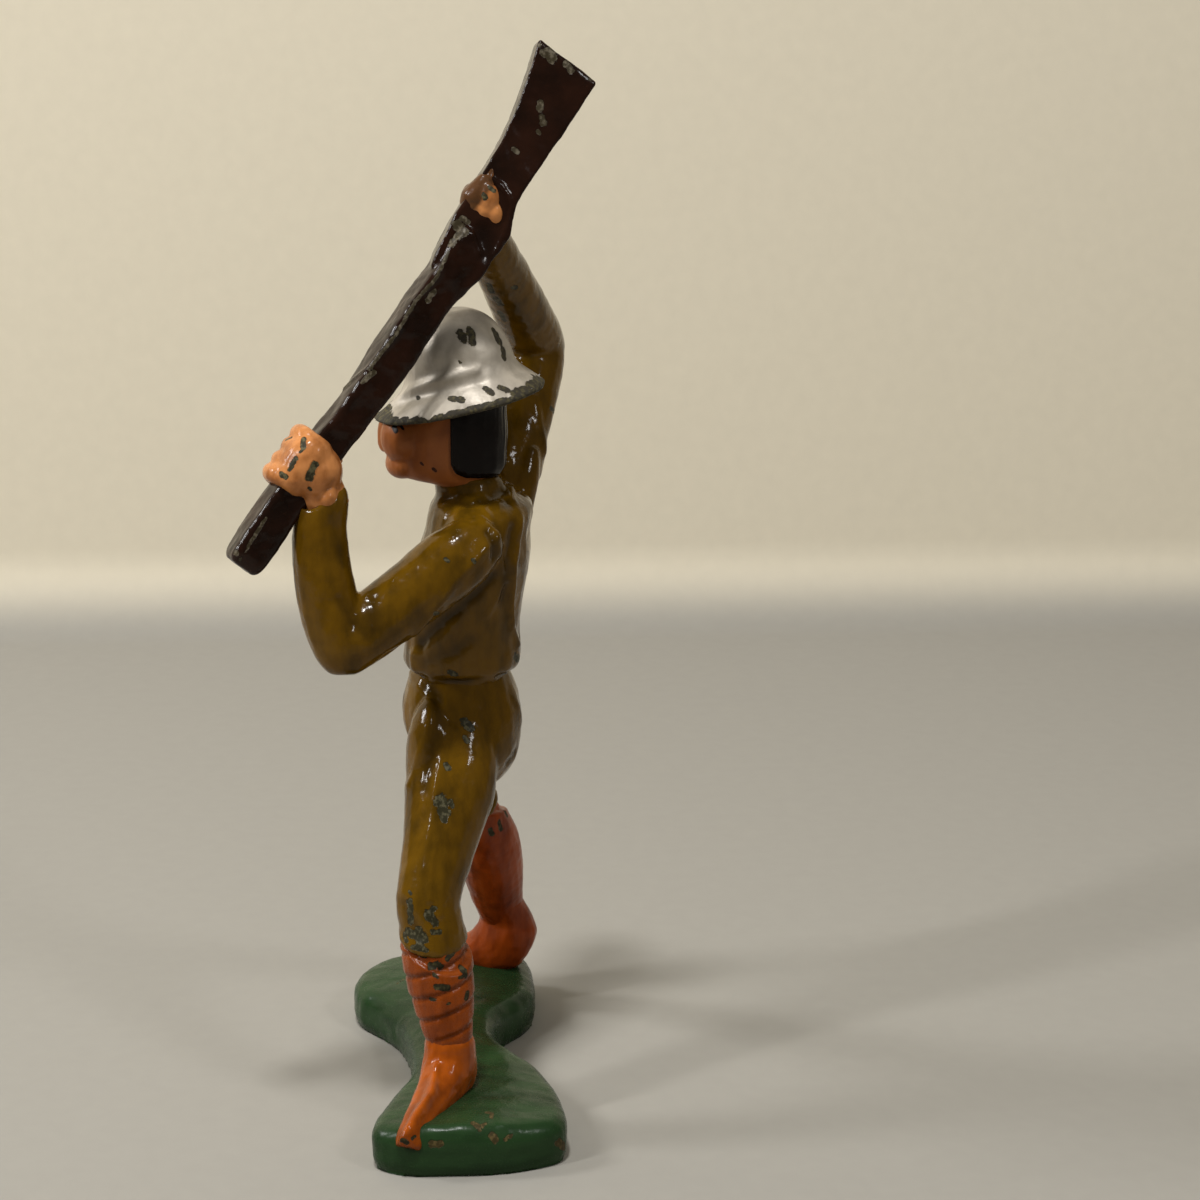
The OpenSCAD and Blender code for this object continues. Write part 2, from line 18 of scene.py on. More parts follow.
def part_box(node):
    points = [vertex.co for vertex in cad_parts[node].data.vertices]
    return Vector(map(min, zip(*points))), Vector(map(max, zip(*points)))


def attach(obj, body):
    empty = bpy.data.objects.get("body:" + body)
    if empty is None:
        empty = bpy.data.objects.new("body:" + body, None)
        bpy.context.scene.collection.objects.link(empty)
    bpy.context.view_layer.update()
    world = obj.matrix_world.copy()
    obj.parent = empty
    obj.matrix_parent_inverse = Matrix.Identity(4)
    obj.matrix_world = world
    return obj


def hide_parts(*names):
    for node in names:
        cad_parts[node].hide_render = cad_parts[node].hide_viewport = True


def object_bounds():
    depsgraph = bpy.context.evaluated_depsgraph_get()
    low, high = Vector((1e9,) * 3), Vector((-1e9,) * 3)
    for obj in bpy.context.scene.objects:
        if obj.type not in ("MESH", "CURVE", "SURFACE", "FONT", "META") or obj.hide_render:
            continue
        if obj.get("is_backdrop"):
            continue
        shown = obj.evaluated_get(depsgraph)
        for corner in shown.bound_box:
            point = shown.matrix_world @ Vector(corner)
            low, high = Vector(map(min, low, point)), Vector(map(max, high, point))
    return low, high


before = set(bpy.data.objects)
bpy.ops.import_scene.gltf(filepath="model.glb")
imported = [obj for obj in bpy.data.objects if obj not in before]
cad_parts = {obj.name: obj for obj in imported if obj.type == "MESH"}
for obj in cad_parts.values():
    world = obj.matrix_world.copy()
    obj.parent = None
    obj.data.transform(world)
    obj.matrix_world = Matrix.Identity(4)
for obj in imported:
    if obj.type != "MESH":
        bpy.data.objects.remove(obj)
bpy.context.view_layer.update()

logging.basicConfig(level=logging.INFO, format="%(levelname)s %(message)s")
log = logging.getLogger("soldier")

MM = 0.001
BODY = "root"
BALL_SEGMENTS, BALL_RINGS = 20, 12

Rows = tuple[tuple[float, ...], ...]
Pixel = tuple[float, float]
Pixels = tuple[Pixel, ...]
Room = tuple[float, float, float]
Box = tuple[np.ndarray, np.ndarray]
Chips = tuple[tuple[Pixels, float], ...]
Grooves = tuple[tuple[Pixels, float, float], ...]
Folds = tuple[tuple[Rows, float, float], ...]
Seen = tuple[tuple[Pixel, float, float, float], ...]
Sockets = tuple[tuple[str, str], ...]


class Side(Enum):
    """The figure's own left or right."""

    LEFT = "left"
    RIGHT = "right"


class Section(Enum):
    """What a form looks like cut across: round, or a square whose corners are rounded later."""

    ROUND = 20
    SQUARE = 4


@dataclass(frozen=True)
class Ring:
    """One section of a cast form: its middle and its two half axes, in millimetres."""

    middle: Vector
    wide: Vector
    deep: Vector


@dataclass(frozen=True)
class Skeleton:
    """Joints of the pose, in millimetres."""

    left_ankle: Vector = Vector((13.6, -0.2, 9.5))
    right_ankle: Vector = Vector((-19.0, 5.3, 9.5))
    left_knee: Vector = Vector((10.6, -2.0, 21.75))
    right_knee: Vector = Vector((-10.3, 1.35, 25.25))
    left_hip: Vector = Vector((4.3, 1.0, 34.5))
    right_hip: Vector = Vector((-4.3, 1.6, 34.5))
    left_shoulder: Vector = Vector((6.4, 3.5, 54.8))
    right_shoulder: Vector = Vector((-6.1, 5.3, 55.8))
    left_elbow: Vector = Vector((11.4, -9.1, 46.05))
    right_elbow: Vector = Vector((-14.5, 9.1, 69.1))
    left_cuff: Vector = Vector((10.2, -10.6, 59.2))
    right_cuff: Vector = Vector((-2.1, 4.9, 79.0))
    left_grip: Vector = Vector((9.5, -12.15, 62.0))
    right_grip: Vector = Vector((1.45, 4.1, 83.9))
    right_hold: Vector = Vector((2.3, 4.1, 83.6))

    def rifle_dir(self) -> Vector:
        """Direction of the rifle, from its muzzle to its butt."""
        return (self.right_hold - self.left_grip).normalized()

    def joint(self, side: Side, name: str) -> Vector:
        """One joint of the figure's left or right."""
        return getattr(self, f"{side.value}_{name}")


POSE = Skeleton()


def smooth_rows(rows: Rows, steps: int = 3) -> list[np.ndarray]:
    """Runs a curve through the rows of a table.

    Args:
        rows: Rows of equal length.
        steps: Rows made for each given one.

    Returns:
        The given rows with the ones between them.
    """
    table = [np.array(row, float) for row in rows]
    last = len(table) - 1
    made = []
    for i in range(last):
        a, b, c, d = table[max(i - 1, 0)], table[i], table[i + 1], table[min(i + 2, last)]
        for k in range(steps):
            t = k / steps
            curve = 2 * b + (c - a) * t + (2 * a - 5 * b + 4 * c - d) * t * t
            made.append((curve + (3 * b - a - 3 * c + d) * t * t * t) / 2)
    made.append(table[last])
    return made


def limb_rings(rows: Rows) -> list[Ring]:
    """Rings square to a limb, from rows of x, y, z, half width and half depth."""
    table = smooth_rows(rows)
    places = [Vector(row[:3]) for row in table]
    rings = []
    for i, row in enumerate(table):
        ahead = (places[min(i + 1, len(places) - 1)] - places[max(i - 1, 0)]).normalized()
        side = Vector((0, -1, 0)).cross(ahead).normalized()
        rings.append(Ring(places[i], side * row[3], ahead.cross(side) * row[4]))
    return rings


def level_rings(rows: Rows, turn: float = 0) -> list[Ring]:
    """Level rings, from rows of height, half width, half depth and place back.

    Args:
        rows: The table.
        turn: Degrees by which the highest ring is turned, its left side forwards.

    Returns:
        One ring for each row of the smoothed table.
    """
    table = smooth_rows(rows)
    low, high = table[0][0], table[-1][0]
    rings = []
    for z, half_w, half_d, back in table:
        a = math.radians(turn) * (z - low) / (high - low)
        wide = Vector((math.cos(a), -math.sin(a), 0)) * half_w
        deep = Vector((math.sin(a), math.cos(a), 0)) * half_d
        rings.append(Ring(Vector((0, back, z)), wide, deep))
    return rings


def along(start: Vector, end: Vector, shares: Rows, size: float, bow: float = 0) -> Rows:
    """Rows along a bone, from rows of shares.

    Args:
        start: First joint.
        end: Last joint.
        shares: Share of the bone, then in shares of the size: how far past, half width, half depth
            and how far forward it bows.
        size: Diameter of the limb.
        bow: How much of the bowing is used.

    Returns:
        Rows of x, y, z, half width and half depth.
    """
    past = (end - start).normalized() * size
    rows = []
    for share, over, half_w, half_d, forward in shares:
        place = start.lerp(end, share) + past * over - Vector((0, bow * forward * size, 0))
        rows.append((*place, half_w * size, half_d * size))
    return tuple(rows)


def row_at(rows: Rows, place: float) -> tuple[float, ...]:
    """The row at a place counted in rows from the first, on the smoothed table."""
    steps = 10
    table = smooth_rows(rows, steps)
    return tuple(table[round(place * steps)])


def only(obj: bpy.types.Object) -> None:
    """Makes one object the selected and active one."""
    bpy.ops.object.select_all(action="DESELECT")
    obj.select_set(True)
    bpy.context.view_layer.objects.active = obj


def edit_points(obj: bpy.types.Object, wanted: object) -> None:
    """Selects points of the mesh in edit mode.

    Args:
        obj: The object in edit mode.
        wanted: Function of a point that says whether it is selected.
    """
    bpy.ops.mesh.select_mode(type="VERT")
    bpy.ops.mesh.select_all(action="DESELECT")
    mesh = bmesh.from_edit_mesh(obj.data)
    for point in mesh.verts:
        point.select = bool(wanted(point))
    mesh.select_flush_mode()
    bmesh.update_edit_mesh(obj.data)


def raise_form(name: str, rings: list[Ring], section: Section = Section.ROUND,
               roll: float = 0) -> bpy.types.Object:
    """Raises a form from a disc, ring by ring, then bends each ring onto its place.

    Args:
        name: Name of the new object.
        rings: The sections, from one end to the other.
        section: Number of sides.
        roll: Degrees by which a square section is rolled about its own middle.

    Returns:
        The new object, closed at both ends.
    """
    sides = section.value
    square = section is Section.SQUARE
    bpy.ops.object.select_all(action="DESELECT")
    bpy.ops.mesh.primitive_circle_add(vertices=sides, radius=MM, fill_type="NGON", location=(0, 0, 0))
    obj = bpy.context.object
    obj.name = name
    obj.data.name = name
    bpy.ops.object.mode_set(mode="EDIT")
    bpy.ops.mesh.select_all(action="SELECT")
    if square:
        bpy.ops.transform.rotate(value=math.pi / 4, orient_axis="Z", center_override=(0, 0, 0))
        bpy.ops.transform.resize(value=(math.sqrt(2), math.sqrt(2), 1), center_override=(0, 0, 0))
    wide, deep = 1.0, 1.0
    for i, ring in enumerate(rings):
        if i:
            bpy.ops.mesh.extrude_region_move(TRANSFORM_OT_translate={"value": (0, 0, MM)})
        level = (0, 0, i * MM)
        scale = (ring.wide.length / wide, ring.deep.length / deep, 1)
        bpy.ops.transform.resize(value=scale, center_override=level)
        wide, deep = ring.wide.length, ring.deep.length
    for i, ring in enumerate(rings):
        edit_points(obj, lambda point: point.index // sides == i)
        level = Vector((0, 0, i * MM))
        if roll:
            bpy.ops.transform.rotate(value=-math.radians(roll), orient_axis="Z", center_override=level)
        across, back = ring.wide.normalized(), ring.deep.normalized()
        turned = Matrix((across, back, across.cross(back))).transposed()
        for axis, angle in zip("XYZ", turned.to_euler("XYZ")):
            bpy.ops.transform.rotate(value=-angle, orient_axis=axis, center_override=level)
        bpy.ops.transform.translate(value=ring.middle * MM - level)
    bpy.ops.mesh.select_all(action="SELECT")
    bpy.ops.mesh.normals_make_consistent(inside=False)
    bpy.ops.object.mode_set(mode="OBJECT")
    return obj


def draw_line(name: str, spots: list[Vector]) -> bpy.types.Object:
    """Draws a line of edges through places, by extruding one point.

    Args:
        name: Name of the new object.
        spots: Places of the line, in millimetres.

    Returns:
        The new object.
    """
    bpy.ops.object.select_all(action="DESELECT")
    bpy.ops.mesh.primitive_plane_add(size=MM, location=(0, 0, 0))
    obj = bpy.context.object
    obj.name = name
    obj.data.name = name
    bpy.ops.object.mode_set(mode="EDIT")
    bpy.ops.mesh.select_all(action="SELECT")
    bpy.ops.mesh.merge(type="CENTER")
    bpy.ops.transform.translate(value=spots[0] * MM)
    for here, there in zip(spots, spots[1:]):
        bpy.ops.mesh.extrude_region_move(TRANSFORM_OT_translate={"value": (there - here) * MM})
    bpy.ops.object.mode_set(mode="OBJECT")
    return obj


def ball(name: str, middle: Vector, half: Vector) -> bpy.types.Object:
    """A ball pressed to three half sizes, as a start for a knuckle or a lobe."""
    bpy.ops.object.select_all(action="DESELECT")
    bpy.ops.mesh.primitive_uv_sphere_add(segments=BALL_SEGMENTS, ring_count=BALL_RINGS, radius=MM,
                                         location=middle * MM)
    obj = bpy.context.object
    obj.name = name
    bpy.ops.object.mode_set(mode="EDIT")
    bpy.ops.mesh.select_all(action="SELECT")
    bpy.ops.transform.resize(value=half, center_override=middle * MM)
    bpy.ops.object.mode_set(mode="OBJECT")
    bpy.ops.object.transform_apply(location=True, rotation=True, scale=True)
    return obj


def apply_modifier(obj: bpy.types.Object, kind: str, **settings: object) -> None:
    """Adds one modifier, sets it and applies it."""
    only(obj)
    modifier = obj.modifiers.new(kind.lower(), kind)
    for key, value in settings.items():
        setattr(modifier, key, value)
    bpy.ops.object.modifier_apply(modifier=modifier.name)


def fuse(name: str, forms: list[bpy.types.Object], voxel: float, polish: int) -> bpy.types.Object:
    """Joins overlapping forms into one skin and softens where they meet, as a casting is.

    Args:
        name: Name of the fused piece.
        forms: Closed forms that overlap.
        voxel: Grain of the skin.
        polish: Times that the skin is smoothed.

    Returns:
        The fused object.
    """
    bpy.ops.object.select_all(action="DESELECT")
    for form in forms:
        form.select_set(True)
    bpy.context.view_layer.objects.active = forms[0]
    if len(forms) > 1:
        bpy.ops.object.join()
    obj = bpy.context.object
    obj.name = name
    obj.data.name = name
    apply_modifier(obj, "REMESH", mode="VOXEL", voxel_size=voxel * MM, adaptivity=0)
    apply_modifier(obj, "SMOOTH", factor=0.5, iterations=polish)
    only(obj)
    bpy.ops.object.shade_smooth()
    return obj


def roughen(obj: bpy.types.Object, size: float, depth: float) -> None:
    """Gives the skin the slight waviness of a hand-finished casting.

    Args:
        obj: The piece.
        size: Width of a wave.
        depth: Height of a wave.
    """
    texture = bpy.data.textures.new(obj.name + "_waves", "CLOUDS")
    texture.noise_scale = size * MM
    texture.noise_depth = 2
    apply_modifier(obj, "DISPLACE", texture=texture, strength=depth * MM, mid_level=0.5,
                   texture_coords="LOCAL")
    bpy.data.textures.remove(texture)


@dataclass(frozen=True)
class Lens:
    """The photograph's camera, which also says where a pixel of it lies on a piece."""

    place: Vector = Vector((280.0, 0.0, 116.0))
    heading: float = math.radians(177.067)
    pitch: float = math.radians(-13.776)
    frame_px: float = 1200.0
    focal_px: float = 3091.0
    sensor: float = 36.0

    def ahead(self) -> Vector:
        """The direction in which the camera looks."""
        level = math.cos(self.pitch)
        return Vector((math.cos(self.heading) * level, math.sin(self.heading) * level, math.sin(self.pitch)))

    def ray(self, pixel: tuple[float, float]) -> Vector:
        """The direction from the camera through a pixel of the photograph."""
        ahead = self.ahead()
        right = ahead.cross(Vector((0, 0, 1))).normalized()
        up = right.cross(ahead)
        middle = self.frame_px / 2
        across = (pixel[0] - middle) / self.focal_px
        down = (pixel[1] - middle) / self.focal_px
        return (ahead + right * across - up * down).normalized()

    def on(self, obj: bpy.types.Object, pixels: Pixels) -> list[Vector]:
        """Finds where pixels of the photograph lie on a piece.

        Args:
            obj: The piece.
            pixels: Places in the photograph.

        Returns:
            The places on the piece, in millimetres, without the pixels that miss it.
        """
        found = []
        for pixel in pixels:
            hit, place, _, _ = obj.ray_cast(self.place * MM, self.ray(pixel))
            if hit:
                found.append(place / MM)
        return found

    def at_x(self, pixel: tuple[float, float], x: float) -> Vector:
        """The place seen at a pixel, at a given distance to the figure's left."""
        ray = self.ray(pixel)
        return self.place + ray * ((x - self.place.x) / ray.x)

    def build(self) -> None:
        """Makes the scene's camera."""
        data = bpy.data.cameras.new("photo_camera")
        data.sensor_width = self.sensor
        data.lens = self.sensor * self.focal_px / self.frame_px
        data.clip_start, data.clip_end = 0.01, 10
        camera = bpy.data.objects.new("photo_camera", data)
        bpy.context.scene.collection.objects.link(camera)
        camera.location = self.place * MM
        camera.rotation_mode = "QUATERNION"
        camera.rotation_quaternion = self.ahead().to_track_quat("-Z", "Y")
        bpy.context.scene.camera = camera


LENS = Lens()


class Skin:
    """The points of a fused piece, pressed and marked along paths that no operator can follow."""

    def __init__(self, obj: bpy.types.Object) -> None:
        """Reads the points and normals of a piece."""
        self.obj = obj
        count = len(obj.data.vertices)
        self.points = np.zeros(count * 3)
        self.normals = np.zeros(count * 3)
        obj.data.vertices.foreach_get("co", self.points)
        obj.data.vertex_normals.foreach_get("vector", self.normals)
        self.points = self.points.reshape(-1, 3) / MM
        self.normals = self.normals.reshape(-1, 3)
        self.start = self.points.copy()
        # crevice: how much painted shade each point gets in grooves and hollows.
        self.crevice = np.zeros(count)
        self.wear = np.full(count, -1.0)
        self.ink = np.zeros(count)

    def distance(self, path: list[Vector]) -> np.ndarray:
        """Distance of every point from a path, in millimetres."""
        best = np.full(len(self.start), 1e9)
        spots = [np.array(spot) for spot in path]
        for a, b in zip(spots, spots[1:] or spots):
            run = b - a
            span = max(float(run @ run), 1e-12)
            share = np.clip((self.start - a) @ run / span, 0, 1)
            gap = self.start - a - share[:, None] * run
            best = np.minimum(best, np.einsum("ij,ij->i", gap, gap))
        return np.sqrt(best)

    def press(self, path: list[Vector], width: float, depth: float) -> None:
        """Presses a soft groove along a path and paints shade into it, or raises a ridge where the depth is
        negative.
        """
        if not path:
            return
        near = np.exp(-((self.distance(path) / width) ** 2))
        self.points -= self.normals * (near * depth)[:, None]
        # A pressed groove also gets painted shade through the crevice mark.
        if depth > 0:
            self.crevice = np.maximum(self.crevice, near * min(depth / 0.3, 1))

    def trace(self, grooves: Grooves) -> None:
        """Presses the grooves that the photograph shows, each given as pixels, width and depth."""
        for pixels, width, depth in grooves:
            self.press(LENS.on(self.obj, pixels), width, depth)

    def fold(self, folds: Folds) -> None:
        """Presses folds along places on the figure, each given as places, width and depth."""
        for spots, width, depth in folds:
            self.press([Vector(spot) for spot in spots], width, depth)

    def chip(self, chips: Chips) -> None:
        """Marks the worn paint that the photograph shows, each chip given as pixels and reach."""
        for pixels, reach in chips:
            path = LENS.on(self.obj, pixels)
            if path:
                self.wear = np.maximum(self.wear, 1 - self.distance(path) / reach)

    def paint(self, path: list[Vector], reach: float) -> None:
        """Marks a painted stroke along a path."""
        if path:
            self.ink = np.maximum(self.ink, 1 - self.distance(path) / reach)

    def keep_in(self, box: Box, below: Room = (0, 0, 0), above: Room = (0, 0, 0)) -> None:
        """Keeps the points in a box, with some room below and above it."""
        low, high = box
        np.clip(self.points, low - below, high + above, out=self.points)

    def save(self) -> None:
        """Writes the points and the marks back to the piece."""
        mesh = self.obj.data
        mesh.vertices.foreach_set("co", (self.points * MM).ravel())
        for name, values in (("crevice", self.crevice), ("wear", self.wear), ("ink", self.ink)):
            marks = mesh.attributes.new(name, "FLOAT", "POINT")
            marks.data.foreach_set("value", values)
        mesh.update()


@dataclass(frozen=True)
class Casting:
    """How a skin is made: its grain, how often it is smoothed, and the width and height of its waves."""

    voxel: float
    polish: int
    wave: float = 0.0
    depth: float = 0.0

    def skin(self, name: str, forms: list[bpy.types.Object]) -> Skin:
        """Fuses the forms into one piece and makes it as uneven as a casting."""
        piece = fuse(name, forms, self.voxel, self.polish)
        if self.wave:
            roughen(piece, self.wave, self.depth)
        return Skin(piece)


def box_of(*nodes: str) -> Box:
    """The lowest and highest corner of some solids together, in millimetres."""
    boxes = [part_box(node) for node in nodes]
    low = np.min([box[0] for box in boxes], axis=0) / MM
    high = np.max([box[1] for box in boxes], axis=0) / MM
    return low, high


def whole_box() -> Box:
    """The lowest and highest corner of the whole figure as it stands, in millimetres."""
    low, high = (np.array(corner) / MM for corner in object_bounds())
    return low, high


def linear(code: str) -> tuple[float, float, float, float]:
    """Turns a colour code into the linear colour that a shader takes."""
    parts = [int(code[i:i + 2], 16) / 255 for i in (1, 3, 5)]
    return (*[p / 12.92 if p <= 0.04045 else ((p + 0.055) / 1.055) ** 2.4 for p in parts], 1.0)


class NodeGroup:
    """A small helper that adds and joins the nodes of one tree."""

    def __init__(self, tree: bpy.types.NodeTree) -> None:
        """Takes the tree that the nodes go into."""
        self.tree = tree

    def add(self, kind: str, **settings: object) -> bpy.types.Node:
        """Adds a node and sets its options."""
        node = self.tree.nodes.new(kind)
        for key, value in settings.items():
            setattr(node, key, value)
        return node

    def join(self, source: bpy.types.NodeSocket, target: bpy.types.NodeSocket) -> None:
        """Joins two sockets."""
        self.tree.links.new(source, target)

    def feed(self, value: object, target: bpy.types.NodeSocket) -> None:
        """Sets a socket, or joins it where the value is another socket."""
        if isinstance(value, bpy.types.NodeSocket):
            self.join(value, target)
        else:
            target.default_value = value

    def math(self, operation: str, first: object, second: object = 0.0,
             clamp: bool = False) -> bpy.types.NodeSocket:
        """A sum of two values or sockets."""
        node = self.add("ShaderNodeMath", operation=operation, use_clamp=clamp)
        self.feed(first, node.inputs[0])
        self.feed(second, node.inputs[1])
        return node.outputs[0]

    def mix(self, share: object, first: object, second: object) -> bpy.types.NodeSocket:
        """A colour between two others."""
        node = self.add("ShaderNodeMix", data_type="RGBA")
        self.feed(share, node.inputs[0])
        self.feed(first, node.inputs[6])
        self.feed(second, node.inputs[7])
        return node.outputs[2]

    def noise(self, vector: object, size: float, detail: float = 2.0) -> bpy.types.NodeSocket:
        """Noise whose features are about as wide as a size in millimetres."""
        node = self.add("ShaderNodeTexNoise")
        node.inputs["Scale"].default_value = 1 / (size * MM)
        node.inputs["Detail"].default_value = detail
        self.feed(vector, node.inputs["Vector"])
        return node.outputs["Fac"]

    def ramp(self, value: object, low: float, high: float) -> bpy.types.NodeSocket:
        """A smooth step of a value from 0 to 1 between two places."""
        node = self.add("ShaderNodeMapRange", interpolation_type="SMOOTHSTEP")
        self.feed(value, node.inputs["Value"])
        node.inputs["From Min"].default_value = low
        node.inputs["From Max"].default_value = high
        return node.outputs["Result"]


def new_group(name: str, inputs: Sockets, outputs: Sockets) -> bpy.types.NodeTree:
    """Makes an empty node group with named inputs and outputs."""
    group = bpy.data.node_groups.new(name, "ShaderNodeTree")
    for label, kind in inputs:
        group.interface.new_socket(label, in_out="INPUT", socket_type=kind)
    for label, kind in outputs:
        group.interface.new_socket(label, in_out="OUTPUT", socket_type=kind)
    return group


@dataclass(frozen=True)
class Brushwork:
    """Enamel laid on with a brush: widths of its marks in millimetres, and what each mark adds."""

    streak: float = 1.5
    patch: float = 4.5
    grain: float = 0.22
    ripple: float = 0.8
    streak_tone: float = 0.6
    patch_tone: float = 0.4
    tone_low: float = 0.36
    tone_high: float = 0.72
    # hollow_dark and the two fields after it set the painted shade in grooves and hollows: how strong, what
    # share of near black, and its colour.
    hollow_dark: float = 0.85
    hollow_shade_share: float = 0.62
    hollow_shade: tuple[float, float, float, float] = (0.004, 0.003, 0.002, 1)
    grain_rough: float = 0.14
    patch_rough: float = 0.08
    streak_height: float = 0.55
    grain_height: float = 0.12
    ripple_height: float = 0.5

    def build(self) -> None:
        """Makes the node group: streaks, thin places and painted shade in the hollows."""
        group = new_group(
            "brushed_enamel",
            (("Vector", "NodeSocketVector"), ("Stroke", "NodeSocketVector"),
             ("Colour", "NodeSocketColor"), ("Shade", "NodeSocketColor"),
             ("Crevice", "NodeSocketFloat"), ("Gloss", "NodeSocketFloat")),
            (("Colour", "NodeSocketColor"), ("Roughness", "NodeSocketFloat"),
             ("Height", "NodeSocketFloat")),
        )
        nodes = NodeGroup(group)
        given = nodes.add("NodeGroupInput")
        result = nodes.add("NodeGroupOutput")
        stretch = nodes.add("ShaderNodeVectorMath", operation="MULTIPLY")
        nodes.join(given.outputs["Vector"], stretch.inputs[0])
        nodes.join(given.outputs["Stroke"], stretch.inputs[1])
        streak = nodes.noise(stretch.outputs[0], self.streak, 4)
        patch = nodes.noise(given.outputs["Vector"], self.patch, 2)
        grain = nodes.noise(given.outputs["Vector"], self.grain, 3)
        shade = nodes.math("ADD", nodes.math("MULTIPLY", streak, self.streak_tone),
                           nodes.math("MULTIPLY", patch, self.patch_tone))
        shade = nodes.ramp(shade, self.tone_low, self.tone_high)
        # Painted shade: the crevice mark mixes the colour towards a near-black shade in grooves and hollows.
        hollow = nodes.math("MULTIPLY", given.outputs["Crevice"], self.hollow_dark, clamp=True)
        toned = nodes.mix(shade, given.outputs["Colour"], given.outputs["Shade"])
        dark = nodes.mix(self.hollow_shade_share, given.outputs["Shade"], self.hollow_shade)
        nodes.join(nodes.mix(hollow, toned, dark), result.inputs["Colour"])
        rough = nodes.math("MULTIPLY", grain, self.grain_rough)
        rough = nodes.math("ADD", given.outputs["Gloss"], rough)
        rough = nodes.math("ADD", rough, nodes.math("MULTIPLY", patch, self.patch_rough), clamp=True)
        nodes.join(rough, result.inputs["Roughness"])
        height = nodes.math("ADD", nodes.math("MULTIPLY", streak, self.streak_height),
                            nodes.math("MULTIPLY", grain, self.grain_height))
        ripple = nodes.noise(given.outputs["Vector"], self.ripple, 1)
        height = nodes.math("ADD", height, nodes.math("MULTIPLY", ripple, self.ripple_height))
        nodes.join(height, result.inputs["Height"])


@dataclass(frozen=True)
class Chipping:
    """Where paint is gone: widths of the marks in millimetres, and where chip and rim begin."""

    tear: float = 0.5
    tear_depth: float = 1.3
    speck: float = 0.7
    speck_from: float = 0.8
    speck_steep: float = 8
    tone: float = 0.35
    mask_low: float = 0.18
    mask_high: float = 0.3
    rim_low: float = -0.02
    rim_high: float = 0.2

    def build(self) -> None:
        """Makes the node group: ragged chips where a wear mark says so, and scattered specks."""
        group = new_group(
            "chipped_paint",
            (("Vector", "NodeSocketVector"), ("Wear", "NodeSocketFloat"), ("Specks", "NodeSocketFloat")),
            (("Mask", "NodeSocketFloat"), ("Rim", "NodeSocketFloat"), ("Tone", "NodeSocketFloat")),
        )
        nodes = NodeGroup(group)
        given = nodes.add("NodeGroupInput")
        result = nodes.add("NodeGroupOutput")
        ragged = nodes.math("SUBTRACT", nodes.noise(given.outputs["Vector"], self.tear, 4), 0.5)
        worn = nodes.math("ADD", given.outputs["Wear"], nodes.math("MULTIPLY", ragged, self.tear_depth))
        speck = nodes.noise(given.outputs["Vector"], self.speck, 3)
        speck = nodes.math("ADD", speck, given.outputs["Specks"])
        speck = nodes.math("SUBTRACT", speck, self.speck_from)
        speck = nodes.math("MULTIPLY", speck, self.speck_steep)
        most = nodes.math("MAXIMUM", worn, speck)
        mask = nodes.ramp(most, self.mask_low, self.mask_high)
        wider = nodes.ramp(most, self.rim_low, self.rim_high)
        nodes.join(mask, result.inputs["Mask"])
        nodes.join(nodes.math("SUBTRACT", wider, mask, clamp=True), result.inputs["Rim"])
        nodes.join(nodes.noise(given.outputs["Vector"], self.tone, 3), result.inputs["Tone"])


